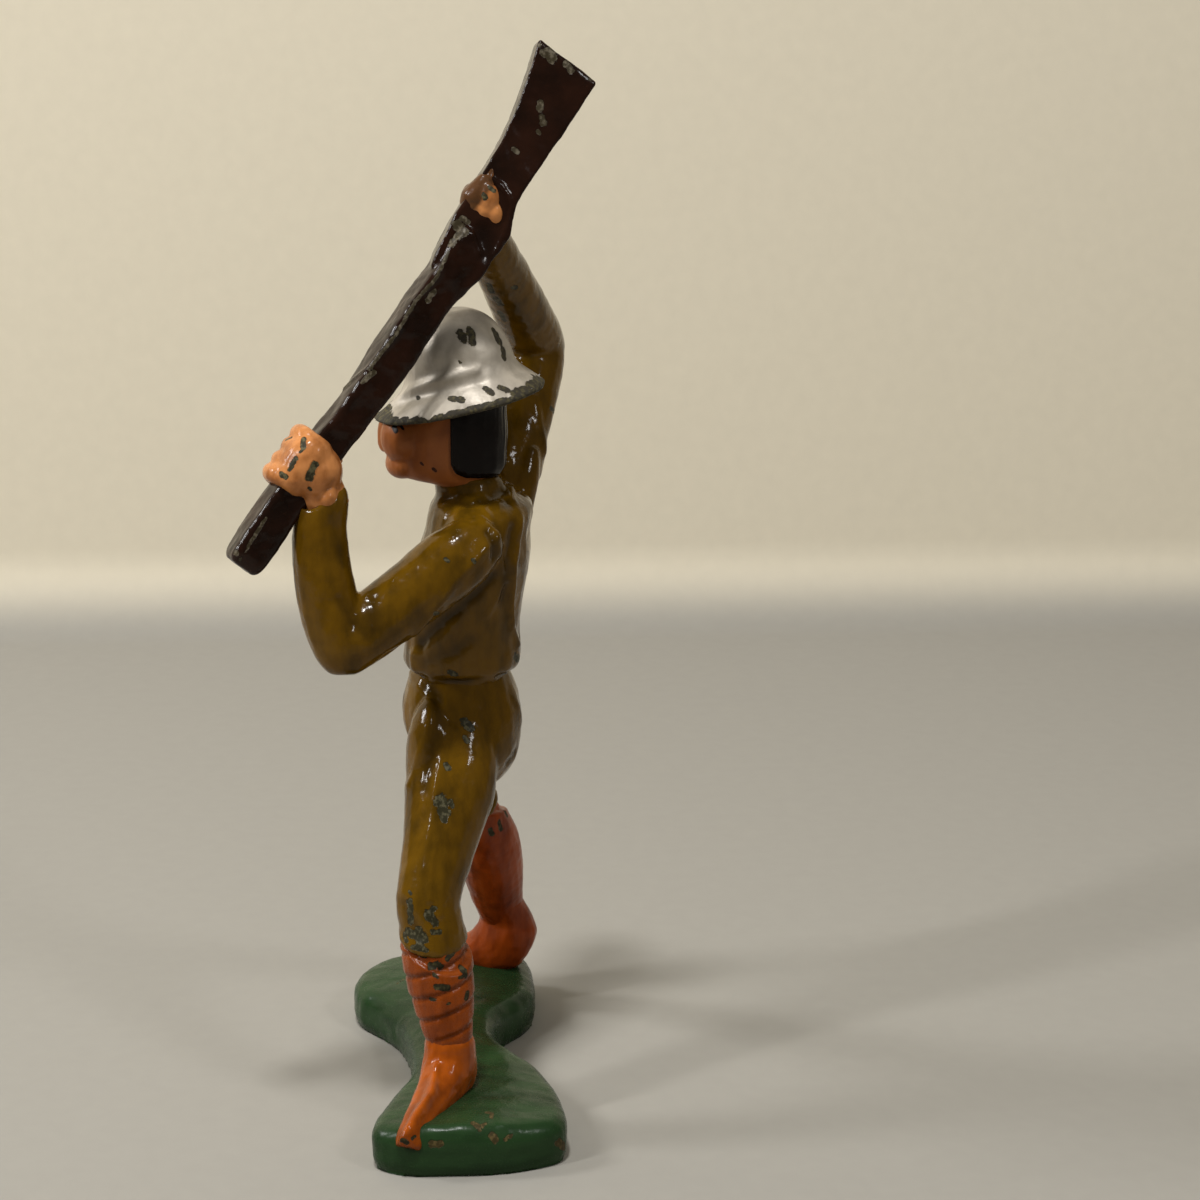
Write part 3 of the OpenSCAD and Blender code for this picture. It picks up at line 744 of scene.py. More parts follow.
@dataclass(frozen=True)
class Enamel:
    """One colour of old gloss paint on the casting."""

    name: str
    colour: str
    shade: str
    gloss: float = 0.2
    bare: str = "#3b3a2a"
    bare_light: str = "#77715a"
    specks: float = 0.0
    stroke: tuple[float, float, float] = (1.0, 1.0, 0.22)
    relief: float = 0.06
    metallic: float = 0.0
    shine: float = 0.2
    ink: str = "#1c0f0a"

    def build(self) -> bpy.types.Material:
        """Makes the material."""
        material = bpy.data.materials.new(self.name)
        material.use_nodes = True
        tree = material.node_tree
        nodes = NodeGroup(tree)
        shader = tree.nodes["Principled BSDF"]
        shader.inputs["Specular IOR Level"].default_value = self.shine
        where = nodes.add("ShaderNodeTexCoord").outputs["Object"]
        marks = {}
        for mark in ("crevice", "wear", "ink"):
            marks[mark] = nodes.add("ShaderNodeAttribute", attribute_name=mark).outputs["Fac"]
        coat = nodes.add("ShaderNodeGroup", node_tree=bpy.data.node_groups["brushed_enamel"])
        nodes.join(where, coat.inputs["Vector"])
        coat.inputs["Stroke"].default_value = self.stroke
        coat.inputs["Colour"].default_value = linear(self.colour)
        coat.inputs["Shade"].default_value = linear(self.shade)
        coat.inputs["Gloss"].default_value = self.gloss
        # The crevice mark carries the painted shade in grooves and hollows.
        nodes.join(marks["crevice"], coat.inputs["Crevice"])
        chips = nodes.add("ShaderNodeGroup", node_tree=bpy.data.node_groups["chipped_paint"])
        nodes.join(where, chips.inputs["Vector"])
        nodes.join(marks["wear"], chips.inputs["Wear"])
        chips.inputs["Specks"].default_value = self.specks
        stroke_mask = nodes.ramp(marks["ink"], 0.2, 0.45)
        painted = nodes.mix(stroke_mask, coat.outputs["Colour"], linear(self.ink))
        rim = nodes.math("MULTIPLY", chips.outputs["Rim"], 0.45)
        painted = nodes.mix(rim, painted, linear(self.shade))
        tone = nodes.ramp(chips.outputs["Tone"], 0.45, 0.68)
        under = nodes.mix(tone, linear(self.bare), linear(self.bare_light))
        nodes.join(nodes.mix(chips.outputs["Mask"], painted, under), shader.inputs["Base Color"])
        rough = nodes.math("MULTIPLY", chips.outputs["Mask"], 0.3)
        rough = nodes.math("ADD", coat.outputs["Roughness"], rough, clamp=True)
        nodes.join(rough, shader.inputs["Roughness"])
        if self.metallic:
            whole = nodes.math("SUBTRACT", 1.0, chips.outputs["Mask"])
            nodes.join(nodes.math("MULTIPLY", whole, self.metallic), shader.inputs["Metallic"])
        sunk = nodes.math("MULTIPLY", chips.outputs["Mask"], 0.7)
        height = nodes.math("SUBTRACT", coat.outputs["Height"], sunk)
        bump = nodes.add("ShaderNodeBump")
        bump.inputs["Strength"].default_value = 1.0
        bump.inputs["Distance"].default_value = self.relief * MM
        nodes.join(height, bump.inputs["Height"])
        nodes.join(bump.outputs["Normal"], shader.inputs["Normal"])
        return material


class Paint(Enum):
    """The colours on the toy."""

    KHAKI = Enamel("khaki_enamel", "#634507", "#422e05", 0.03, relief=0.08, bare="#2b2816",
                   bare_light="#57523c", stroke=(1.0, 1.0, 0.4))
    FLESH = Enamel("flesh_enamel", "#cc874e", "#83491f", 0.1, stroke=(1.0, 1.0, 0.7), bare="#2f2b19",
                   bare_light="#5d573c", ink="#543720")
    FACE = Enamel("face_enamel", "#9a5a2b", "#7d4520", 0.26, specks=0.04, bare="#3a1d10",
                  bare_light="#4d2a18", stroke=(1.0, 1.0, 0.6), ink="#120705")
    HAIR = Enamel("hair_enamel", "#110a07", "#090504", 0.06, stroke=(1.0, 1.0, 0.15), shine=0.12)
    SILVER = Enamel("aluminium_paint", "#bbb1a1", "#938a7c", 0.33, metallic=0.22, relief=0.08,
                    bare="#28210e", bare_light="#4d4526", shine=0.5, stroke=(1.0, 1.0, 0.7))
    BROWN = Enamel("rifle_enamel", "#27140b", "#140a05", 0.04, bare="#38301f", bare_light="#675e4d",
                   specks=0.02, stroke=(0.5, 0.5, 0.5))
    ORANGE = Enamel("orange_enamel", "#a8500e", "#7f3908", 0.06, bare="#231f0d", bare_light="#474125",
                    relief=0.1)
    WOUND = Enamel("wound_enamel", "#8a3f0c", "#602907", 0.17, bare="#231f0d", bare_light="#443e24",
                   relief=0.08)
    RED = Enamel("red_enamel", "#963f0c", "#5c2005", 0.2, bare="#26220f", bare_light="#49432a")
    GREEN = Enamel("green_enamel", "#263e21", "#1b2e18", 0.15, bare="#3b321a", bare_light="#5e5030",
                   stroke=(0.6, 0.16, 1.0), relief=0.07, shine=0.13)

    def material(self) -> bpy.types.Material:
        """The material of this paint, made the first time it is asked for."""
        return bpy.data.materials.get(self.value.name) or self.value.build()


def hand_over(skin: Skin, paint: Paint, nodes: tuple[str, ...]) -> None:
    """Args:
        skin: The piece, with its marks.
        paint: Its enamel.
        nodes: The solids that it stands for.
    """
    skin.save()
    piece = skin.obj
    piece.data.materials.clear()
    piece.data.materials.append(paint.material())
    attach(piece, BODY)
    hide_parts(*nodes)
    low, high = box_of(*nodes)
    below = np.round(low - skin.points.min(0), 2)
    above = np.round(skin.points.max(0) - high, 2)
    log.info("%s: %d points, beyond its solids by %s below and %s above (mm)", piece.name,
             len(skin.points), below.tolist(), above.tolist())


@dataclass
class Base:
    """The green base: two round ends joined by a waist, with a worn top edge."""

    stations: Rows = (
        (-24.2, -0.4, 4.8), (-23.5, -4.0, 7.0), (-21.6, -7.7, 8.1), (-18.5, -9.4, 8.4), (-15.2, -9.8, 8.5),
        (-12.3, -9.0, 8.3), (-9.5, -7.1, 7.0), (-6.4, -5.4, 5.0), (-3.3, -4.6, 4.3), (0.0, -4.1, 4.5),
        (3.1, -3.8, 5.9), (6.4, -3.8, 7.9), (9.5, -4.3, 9.0), (12.6, -5.4, 9.75), (15.9, -6.5, 10.2),
        (18.8, -7.2, 10.4), (20.9, -7.2, 9.9), (22.3, -6.3, 7.8), (23.3, -4.3, 4.6), (23.6, -1.6, 2.0),
    )
    height: float = 3.95
    edge: float = 1.25
    dome: float = 0.75
    foot_height: float = 1.3
    foot_round: float = 0.35
    least_half: float = 0.5
    casting: Casting = Casting(0.26, 3, 3.0, 0.25)
    seat: float = 0.35
    chips: Chips = (
        (((474, 1131), (477, 1133)), 0.42), (((487, 1120), (490, 1120)), 0.3),
        (((492, 1121), (491, 1125)), 0.26), (((492, 1139), (496, 1142)), 0.38),
        (((430, 1146), (442, 1147)), 0.3), (((558, 1142), (564, 1147)), 0.5),
        (((480, 1136), (486, 1130)), 0.2), (((505, 1141), (512, 1137)), 0.2),
        (((403, 985), (396, 989)), 0.16),
    )
    scratches: Grooves = (
        (((388, 1010), (372, 1002)), 0.5, 0.05), (((470, 1104), (520, 1100)), 0.5, 0.05),
        (((380, 990), (399, 985)), 0.5, 0.05),
    )

    def outline(self) -> list[Vector]:
        """The outline of the base seen from above, anticlockwise."""
        table = smooth_rows(self.stations, 2)
        front = [Vector((x, low, 0)) for x, low, _ in table]
        back = [Vector((x, high, 0)) for x, _, high in reversed(table)]
        return front + back

    def build(self) -> None:
        """Draws the outline point by point, raises it and rounds its top edge."""
        obj = draw_line("base_form", self.outline())
        bpy.ops.object.mode_set(mode="EDIT")
        bpy.ops.mesh.select_all(action="SELECT")
        bpy.ops.mesh.edge_face_add()
        bpy.ops.mesh.extrude_region_move(TRANSFORM_OT_translate={"value": (0, 0, self.height * MM)})
        bpy.ops.mesh.bevel(offset=self.edge * MM, segments=5, affect="EDGES", clamp_overlap=True)
        bpy.ops.mesh.select_all(action="SELECT")
        bpy.ops.mesh.normals_make_consistent(inside=False)
        bpy.ops.object.mode_set(mode="OBJECT")
        skin = self.casting.skin("base_casting", [obj])
        self.shape(skin)
        skin.chip(self.chips)
        skin.trace(self.scratches)
        hand_over(skin, Paint.GREEN, ("base",))

    def shape(self, skin: Skin) -> None:
        """Domes the top, rounds the foot, keeps to the solid's box and levels the underside."""
        points = skin.points
        half_height = self.height / 2
        top = np.clip((points[:, 2] - half_height) / half_height, 0, 1)
        places, fronts, backs = np.array(self.stations).T
        half = np.interp(points[:, 0], places, (backs - fronts) / 2)
        middle = np.interp(points[:, 0], places, (backs + fronts) / 2)
        off = np.clip(np.abs(points[:, 1] - middle) / np.maximum(half, self.least_half), 0, 1)
        points[:, 2] += top * self.dome * (1 - off ** 2)
        foot = np.clip(1 - points[:, 2] / self.foot_height, 0, 1) ** 2
        points[:, :2] -= skin.normals[:, :2] * (self.foot_round * foot)[:, None]
        skin.keep_in(box_of("base"))
        points[points[:, 2] < self.seat, 2] = 0


@dataclass
class Boot:
    """One boot: a long low toe, an arched sole and a heel."""

    side: Side
    length: float = 13.6
    width: float = 5.2
    ankle_rise: float = 4.7
    left_turn: float = 68.0
    right_turn: float = -27.0
    room: float = 0.6
    base_line: float = 4.3
    heel_back: float = 0.4
    heel_height: float = 0.6
    heel_half: float = 3.0
    casting: Casting = Casting(0.16, 4, 1.6, 0.16)
    creases: Grooves = (
        (((436, 1068), (432, 1092), (418, 1112), (408, 1130), (403, 1140)), 0.42, -0.4),
        (((444, 1092), (434, 1106), (424, 1124), (418, 1138)), 0.5, 0.14),
        (((425, 1080), (420, 1098), (406, 1122), (398, 1138)), 0.5, 0.16),
    )
    chips: Chips = (
        (((404, 1141), (407, 1143)), 0.28), (((397, 1148), (410, 1148)), 0.22),
        (((412, 1139), (416, 1136)), 0.18),
    )
    shares: Rows = (
        (0.152, 1.06, -0.152, 1.06, 0.4), (0.172, 0.88, -0.182, 0.88, 0.448), (0.19, 0.72, -0.21, 0.5, 0.46),
        (0.26, 0.54, -0.24, 0.05, 0.47), (0.36, 0.41, -0.19, -0.26, 0.42), (0.48, 0.3, 0.08, -0.4, 0.35),
        (0.63, 0.17, 0.35, -0.45, 0.28), (0.75, -0.02, 0.6, -0.54, 0.26), (0.805, -0.2, 0.68, -0.58, 0.25),
        (0.82, -0.3, 0.71, -0.55, 0.21),
    )
    raised_heel: Rows = (
        (0.14, 1.8, -0.155, 1.8, 0.38), (0.17, 1.5, -0.2, 1.5, 0.475), (0.17, 1.16, -0.235, 1.16, 0.475),
        (0.17, 0.98, -0.26, 0.9, 0.475), (0.19, 0.8, -0.272, 0.66, 0.48), (0.26, 0.56, -0.21, 0.2, 0.48),
        (0.36, 0.41, -0.07, -0.26, 0.46),
    )

    def build(self) -> None:
        """Raises the boot from its top to its toe, then presses the heel and the creases."""
        left = self.side is Side.LEFT
        ankle, knee = POSE.joint(self.side, "ankle"), POSE.joint(self.side, "knee")
        turn = math.radians(self.left_turn if left else self.right_turn)
        ahead = Vector((math.sin(turn), -math.cos(turn), 0))
        across = Vector((math.cos(turn), math.sin(turn), 0))
        sole = ankle - Vector((0, 0, self.ankle_rise))
        lean = (knee - ankle) / (knee.z - ankle.z)
        lean.z = 0
        shares = self.shares if left else self.raised_heel + self.shares[5:]
        rings = []
        for fx, fz, bx, bz, half_w in smooth_rows(shares, 2):
            front = sole + ahead * (self.length * fx) + Vector((0, 0, self.ankle_rise * fz))
            back = sole + ahead * (self.length * bx) + Vector((0, 0, self.ankle_rise * bz))
            middle = (front + back) / 2
            middle += lean * max(middle.z - ankle.z, 0)
            rings.append(Ring(middle, across * (-self.width * half_w), (back - front) / 2))
        name = self.side.value + "_boot_casting"
        skin = self.casting.skin(name, [raise_form(name, rings)])
        if left:
            middle = sole + ahead * self.heel_back + Vector((0, 0, self.heel_height))
            heel = [middle + across * (self.heel_half * step) for step in (-1, 0, 1)]
            skin.press(heel, 0.5, 0.1)
            skin.trace(self.creases)
            skin.chip(self.chips)
        self.settle(skin)
        hand_over(skin, Paint.ORANGE if left else Paint.RED, (self.side.value + "_boot",))

    def settle(self, skin: Skin) -> None:
        """Keeps the boot in its solids' reach and paints a shadow along the line where it stands on the base.
        """
        solids = [self.side.value + part for part in ("_boot", "_puttee")]
        behind = 0 if self.side is Side.LEFT else self.room
        skin.keep_in(box_of(*solids), below=(0, 0, self.room), above=(0, behind, self.room))
        # Painted contact shadow: the boot darkens just above the base's top.
        near = np.clip(1 - (skin.points[:, 2] - self.base_line) / 0.5, 0, 1)
        skin.crevice = np.maximum(skin.crevice, near * 0.6)


@dataclass
class Leg:
    """One leg: a breeches leg down to the knee, and a wound puttee down into the boot."""

    side: Side
    thigh: float = 7.8
    knee: float = 6.0
    calf: float = 6.3
    ankle: float = 4.7
    hem_row: float = 7.2
    hem_drop: float = 0.6
    pitch: float = 2.05
    slope: float = 0.22
    groove: float = 0.17
    first_turn: float = 2.2
    start_turn: float = 0.2
    turn_edge: float = 0.11
    far_share: float = 0.08
    lap: float = 0.6
    hem_tuck: float = 0.5
    casting: Casting = Casting(0.17, 3, 1.5, 0.14)
    thigh_shares: Rows = (
        (-0.26, 0, 0.16, 0.16, 0), (-0.2, 0, 0.3, 0.32, 0), (-0.06, 0, 0.42, 0.45, 0),
        (0.27, 0, 0.48, 0.54, 0), (0.45, 0, 0.46, 0.49, 0), (0.73, 0, 0.42, 0.42, 0),
    )
    calf_shares: Rows = (
        (0.2, 0, 0.46, 0.465, 0.14), (0.36, 0, 0.495, 0.505, 0.16), (0.52, 0, 0.48, 0.5, 0.13),
        (0.64, 0, 0.46, 0.475, 0.09), (0.8, 0, 0.41, 0.42, 0.04),
    )
    left_chips: Chips = (
        (((449, 959), (457, 950)), 0.42), (((430, 967), (438, 965)), 0.42),
        (((440, 969), (443, 967)), 0.3), (((464, 968), (465, 975)), 0.42),
        (((459, 978), (462, 977)), 0.22), (((437, 987), (447, 988)), 0.4),
        (((467, 993), (466, 998)), 0.34), (((430, 999), (436, 1000)), 0.22),
        (((434, 975), (437, 977)), 0.26), (((415, 955), (424, 958)), 0.22),
        (((447, 1004), (450, 1003)), 0.15),
    )
    right_chips: Chips = (
        (((490, 830), (492, 834)), 0.35), (((499, 822), (501, 829)), 0.35),
        (((505, 812), (507, 816)), 0.25),
    )

    def rows(self) -> Rows:
        """Rows of the whole leg, from inside the hip to inside the boot."""
        left = self.side is Side.LEFT
        hip, knee, ankle = (POSE.joint(self.side, name) for name in ("hip", "knee", "ankle"))
        swell = 0 if left else -1
        rows = along(hip, knee, self.thigh_shares, self.thigh)
        rows += ((*knee, 0.5 * self.knee, 0.5 * self.knee),)
        rows += along(knee, ankle, self.calf_shares, self.calf, swell)
        end = self.ankle * (0.46 if left else 0.44)
        rows += ((*ankle, end, end),)
        low = ankle - Vector((0, 0, 1.6))
        return rows + ((*low, end * 0.88, end * 0.88),)

    def breeches(self) -> bpy.types.Object:
        """The breeches leg, whose hem bulges over the puttee and hangs lower on its outer side."""
        rows = self.rows()
        last = math.floor(self.hem_row)
        kept = rows[:last] + (row_at(rows, self.hem_row - 0.5), row_at(rows, self.hem_row))
        rings = limb_rings(kept)
        hem = rings[-1]
        droop, lift = (-1.6, 0.9) if self.side is Side.LEFT else (0.4, 0)
        leftwards = math.copysign(1, hem.wide.x)
        wide = hem.wide * 1.12 + Vector((0, 0, droop * leftwards))
        deep = hem.deep * 1.1 + Vector((0, 0, lift))
        rings[-1] = Ring(hem.middle, wide, deep)
        rings.append(Ring(hem.middle + Vector((0, 0, -self.hem_drop)), wide * 1.02, deep))
        rings.append(Ring(hem.middle + Vector((0, 0, -self.hem_drop - 0.1)), wide * 0.7, deep * 0.65))
        return raise_form(self.side.value + "_breeches_form", rings)

    def under_hem(self, skin: Skin) -> np.ndarray:
        """How far each point of the puttee lies under the hem, from 0 to 1."""
        hem = Vector(row_at(self.rows(), self.hem_row)[:3])
        left = self.side is Side.LEFT
        droop, lift = (0.5, 0.26) if left else (-0.13, 0)
        edge = hem.z - self.hem_drop - droop * (skin.start[:, 0] - hem.x) - lift * (skin.start[:, 1] - hem.y)
        return np.clip((skin.start[:, 2] - edge + 0.15) / 0.3, 0, 1)

    def puttee(self) -> None:
        """The puttee, whose turns lap over each other in a rising spiral."""
        rows = self.rows()
        first = math.ceil(self.hem_row + 0.01)
        start = []
        for back, share in ((0.9, 0.72), (0.3, 0.88)):
            x, y, z, half_w, half_d = row_at(rows, self.hem_row - back)
            start.append((x, y, z, half_w * share, half_d * share))
        kept = (*start, row_at(rows, self.hem_row + 0.3)) + rows[first:]
        name = self.side.value + "_puttee_casting"
        skin = self.casting.skin(name, [raise_form(name, limb_rings(kept))])
        self.wind(skin, kept)
        left = self.side is Side.LEFT
        skin.chip(self.left_chips if left else self.right_chips)
        paint = Paint.WOUND if left else Paint.RED
        hand_over(skin, paint, (self.side.value + "_puttee",))

    def wind(self, skin: Skin, kept: Rows) -> None:
        """Presses the spiral of the turns: each swells towards its lower edge and then steps in, with painted
        shade in the grooves.
        """
        middles = np.array([row[:3] for row in smooth_rows(kept, 6)][::-1])
        heights = middles[:, 2]
        off_x, off_y = (skin.start[:, axis] - np.interp(skin.start[:, 2], heights, middles[:, axis])
                        for axis in (0, 1))
        turn = np.arctan2(off_x, -off_y) / (2 * math.pi)
        rise = skin.start[:, 2] - (heights[0] + self.first_turn) - self.slope * off_y
        place = rise / self.pitch - turn + self.start_turn
        share = place - np.floor(place)
        wave = np.exp(-((np.minimum(share, 1 - share) / self.turn_edge) ** 2))
        strength = self.groove if self.side is Side.LEFT else self.far_share * self.groove
        inside = np.clip((rise + 0.5) / 0.8, 0, 1)
        lap = (1 - share) * self.lap * strength
        sunk = (wave * strength - lap) * inside + self.hem_tuck * self.under_hem(skin)
        skin.points -= skin.normals * sunk[:, None]
        # Painted shade in the grooves between the turns, through the crevice mark.
        dark = np.clip(wave * inside * strength / self.groove, 0, 1) * 0.5
        skin.crevice = np.maximum(skin.crevice, dark)


@dataclass
class Breeches:
    """The seat of the breeches fused with both legs."""

    casting: Casting = Casting(0.2, 12, 2.6, 0.2)
    hip_pixel: Pixel = (431, 766)
    hip_x: float = 4.8
    hip_half: Vector = Vector((3.4, 2.35, 6.6))
    seat: Rows = (
        (29.0, 1.1, 0.8, 1.36), (29.5, 3.0, 2.4, 1.4), (31.0, 5.2, 4.0, 1.58), (33.0, 6.5, 5.0, 1.7),
        (35.0, 6.65, 5.5, 1.5), (37.0, 6.3, 5.7, 1.35), (39.0, 5.75, 5.25, 1.3), (40.6, 5.2, 4.7, 1.3),
        (41.6, 4.6, 4.1, 1.35),
    )
    creases: Grooves = (
        (((427, 684), (436, 698), (439, 715), (436, 738), (430, 765), (424, 790)), 0.6, 0.18),
        (((411, 672), (421, 688), (429, 700), (431, 716), (425, 740), (416, 762), (408, 785)), 0.4, -0.15),
        (((445, 706), (444, 735), (440, 760), (436, 790), (430, 830), (426, 870)), 0.6, -0.16),
        (((515, 700), (521, 720), (521, 745)), 0.6, -0.12),
        (((504, 775), (509, 762), (516, 752)), 0.6, 0.25),
        (((438, 840), (432, 865), (430, 900)), 0.35, -0.12),
        (((452, 800), (446, 840), (442, 880), (440, 915)), 0.5, -0.1),
        (((404, 905), (409, 922), (420, 936)), 0.6, 0.16),
    )
    far_folds: Folds = (
        (((-3.5, -3.9, 39.2), (-4.8, -3.4, 36.0), (-6.2, -2.4, 33.0)), 0.7, 0.3),
        (((0.2, -4.6, 38.5), (0.1, -4.2, 35.0), (0, -2.8, 31.2)), 0.5, 0.25),
        (((0, 7.2, 37.5), (0, 7.0, 34.5), (0, 4.9, 31.2)), 0.6, 0.4),
        (((-6.0, 4.2, 33.5), (-4.2, 5.6, 31.0)), 0.8, 0.3),
        (((-9.2, -1.8, 28.5), (-11.0, -1.2, 26.2)), 0.6, 0.2),
        (((-6.8, 0.5, 37.5), (-7.6, 0.2, 34.0), (-9.4, -0.2, 30.0)), 0.5, -0.18),
    )
    chips: Chips = (
        (((464, 722), (470, 728)), 0.55), (((465, 738), (467, 741)), 0.4),
        (((446, 765), (448, 768)), 0.35), (((441, 800), (444, 812)), 0.75),
        (((443, 818), (444, 820)), 0.4), (((450, 801), (452, 806)), 0.3),
        (((409, 902), (410, 922)), 0.5), (((408, 932), (424, 938)), 0.6),
        (((428, 915), (434, 922)), 0.55), (((431, 912), (434, 908)), 0.35),
        (((418, 930), (420, 945)), 0.5), (((404, 935), (407, 941)), 0.3),
        (((432, 932), (440, 932)), 0.3), (((409, 892), (411, 894)), 0.2),
        (((412, 947), (426, 950)), 0.3),
    )

    def build(self, legs: tuple[Leg, Leg]) -> None:
        """Fuses the forms, then presses the folds and marks the worn places."""
        forms = [raise_form("seat_form", level_rings(self.seat))]
        forms += [leg.breeches() for leg in legs]
        forms.append(ball("left_hip_front", LENS.at_x(self.hip_pixel, self.hip_x), self.hip_half))
        skin = self.casting.skin("breeches_casting", forms)
        skin.trace(self.creases)
        skin.fold(self.far_folds)
        skin.chip(self.chips)
        skin.keep_in(whole_box())
        hand_over(skin, Paint.KHAKI, ("breeches_seat", "left_breeches_leg", "right_breeches_leg"))


@dataclass
class Tunic:
    """The tunic with its collar and both sleeves, fused as one skin."""

    sleeve: float = 6.2
    cuff: float = 4.4
    turn: float = 8.0
    trunk: Rows = (
        (40.2, 4.9, 4.4, 1.3), (40.9, 5.45, 4.95, 1.35), (41.8, 5.95, 5.5, 1.45), (43.2, 6.1, 5.5, 1.5),
        (45.0, 6.2, 5.35, 1.55), (47.8, 6.6, 5.27, 1.93), (51.4, 7.2, 5.33, 2.52), (54.3, 7.2, 4.9, 3.0),
        (56.4, 6.5, 4.8, 3.35), (57.5, 5.0, 3.9, 3.1), (58.2, 3.5, 3.0, 2.8),
    )
    collar: Rows = ((56.6, 3.35, 3.15, 2.4), (57.7, 3.45, 3.25, 2.35), (58.7, 3.4, 3.2, 2.25),
                    (59.45, 3.15, 3.0, 2.1), (59.5, 2.4, 2.3, 2.0))
    upper: Rows = (
        (-0.06, 0, 0.28, 0.28, 0), (0.05, 0, 0.43, 0.43, 0), (0.2, 0, 0.51, 0.52, 0), (0.4, 0, 0.49, 0.51, 0),
        (0.65, 0, 0.48, 0.5, 0), (0.88, 0, 0.46, 0.48, 0), (1, 0.05, 0.41, 0.42, 0), (1, 0.29, 0.28, 0.28, 0),
        (1, 0.37, 0.12, 0.12, 0),
    )
    lower: Rows = (
        (0, -0.57, 0.14, 0.14, 0), (0, -0.48, 0.4, 0.4, 0), (0, -0.15, 0.58, 0.58, 0.03),
        (0.1, 0, 0.62, 0.63, 0.12), (0.3, 0, 0.61, 0.62, 0.22), (0.6, 0, 0.57, 0.59, 0.25),
        (0.85, 0, 0.53, 0.55, 0.17), (0.97, 0, 0.52, 0.52, 0.04), (1, 0.02, 0.42, 0.42, 0.03),
    )
    hidden: Rows = ((1, 0.2, 0.52, 0.52, 0), (1, 0.9, 0.48, 0.46, 0), (1, 0.98, 0.34, 0.34, 0))
    right_back: Rows = (
        (-6.6, 8.2, 60.6, 0.8, 0.8), (-6.0, 7.6, 58.5, 1.4, 1.4), (-5.4, 7.0, 55.8, 1.6, 1.5),
        (-4.8, 6.4, 52.6, 1.5, 1.2), (-4.5, 5.9, 50.5, 0.8, 0.8),
    )
    left_yoke: tuple[Vector, Vector] = (Vector((4.8, 2.3, 55.0)), Vector((2.8, 2.4, 2.5)))
    right_yoke: tuple[Vector, Vector] = (Vector((-5.4, 4.3, 55.2)), Vector((2.9, 3.3, 2.8)))
    slant: float = 0.9
    casting: Casting = Casting(0.21, 10, 2.4, 0.2)
    nodes: tuple[str, ...] = (
        "tunic", "collar", "left_upper_sleeve", "left_lower_sleeve", "right_upper_sleeve",
        "right_lower_sleeve",
    )
    creases: Grooves = (
        (((497, 535), (484, 550), (470, 566), (455, 583), (444, 598), (430, 615), (415, 634)), 0.5, -0.22),
        (((489, 533), (493, 545), (494, 557)), 0.5, 0.26),
        (((507, 462), (512, 490), (520, 522), (511, 555), (512, 582), (510, 615), (519, 645)), 0.35, -0.16),
        (((475, 500), (490, 520), (496, 545), (502, 565), (508, 580)), 0.4, -0.16),
        (((487, 615), (497, 598), (505, 582)), 0.4, -0.16),
        (((494, 576), (470, 600), (445, 622), (420, 645)), 0.6, 0.3),
        (((501, 470), (512, 500), (520, 530), (514, 565), (511, 600), (511, 628), (517, 645)), 0.4, -0.26),
        (((506, 500), (513, 530), (507, 565), (503, 600)), 0.6, 0.2),
        (((443, 500), (470, 505), (490, 500), (503, 492)), 0.5, 0.22),
        (((440, 478), (452, 483), (470, 484), (490, 480), (500, 474)), 0.35, 0.16),
        (((505, 470), (508, 440), (505, 412)), 0.5, -0.16),
        (((545, 452), (541, 430), (536, 405)), 0.5, -0.15),
        (((300, 560), (303, 600), (312, 640)), 0.4, -0.1),
        (((352, 566), (362, 585), (372, 600), (376, 630)), 0.7, 0.22),
        (((340, 600), (352, 622), (370, 640)), 0.5, 0.14),
        (((408, 640), (412, 655), (414, 670)), 0.4, -0.16),
        (((470, 640), (450, 655), (425, 663)), 0.7, 0.18),
    )
    far_folds: Folds = (
        (((5.8, 4.5, 40.9), (5.2, -2.0, 40.9), (0, -3.6, 40.9), (-5.2, -2.0, 40.9), (-5.4, 4.0, 40.9),
          (0, 6.2, 40.9), (5.8, 4.5, 40.9)), 0.45, 0.3),
        (((0.8, 8.8, 55.0), (0.6, 8.3, 50.0), (0.4, 7.3, 45.0), (0.3, 6.9, 42.0)), 0.5, 0.22),
        (((-12.6, 5.6, 66.0), (-11.6, 5.2, 70.5)), 0.7, 0.4),
        (((-9.2, 9.6, 60.5), (-11.8, 10.6, 63.5)), 0.6, 0.2),
        (((-5.0, -1.5, 54.5), (-6.8, 0.8, 57.0)), 0.7, 0.25),
        (((0, -3.4, 43.0), (0, -3.2, 49.0), (0, -2.3, 55.0)), 0.35, 0.16),
        (((-7.4, 0.5, 52.0), (-7.2, 3.0, 54.0), (-8.0, 6.0, 55.0)), 0.6, 0.3),
        (((10.6, -3.6, 46.6), (11.8, -5.4, 45.2)), 0.6, 0.18),
        (((-16.6, 9.0, 66.5), (-17.2, 10.0, 69.5)), 0.6, -0.2),
    )
    chips: Chips = (
        (((450, 672), (455, 674)), 0.35), (((515, 657), (519, 660)), 0.5),
        (((513, 287), (516, 288)), 0.3), (((496, 298), (500, 304)), 0.45),
        (((489, 285), (492, 292)), 0.4), (((500, 312), (504, 320)), 0.35),
        (((446, 559), (448, 561)), 0.25), (((434, 612), (438, 614)), 0.25),
        (((472, 560), (474, 562)), 0.2), (((551, 408), (554, 412)), 0.3),
    )

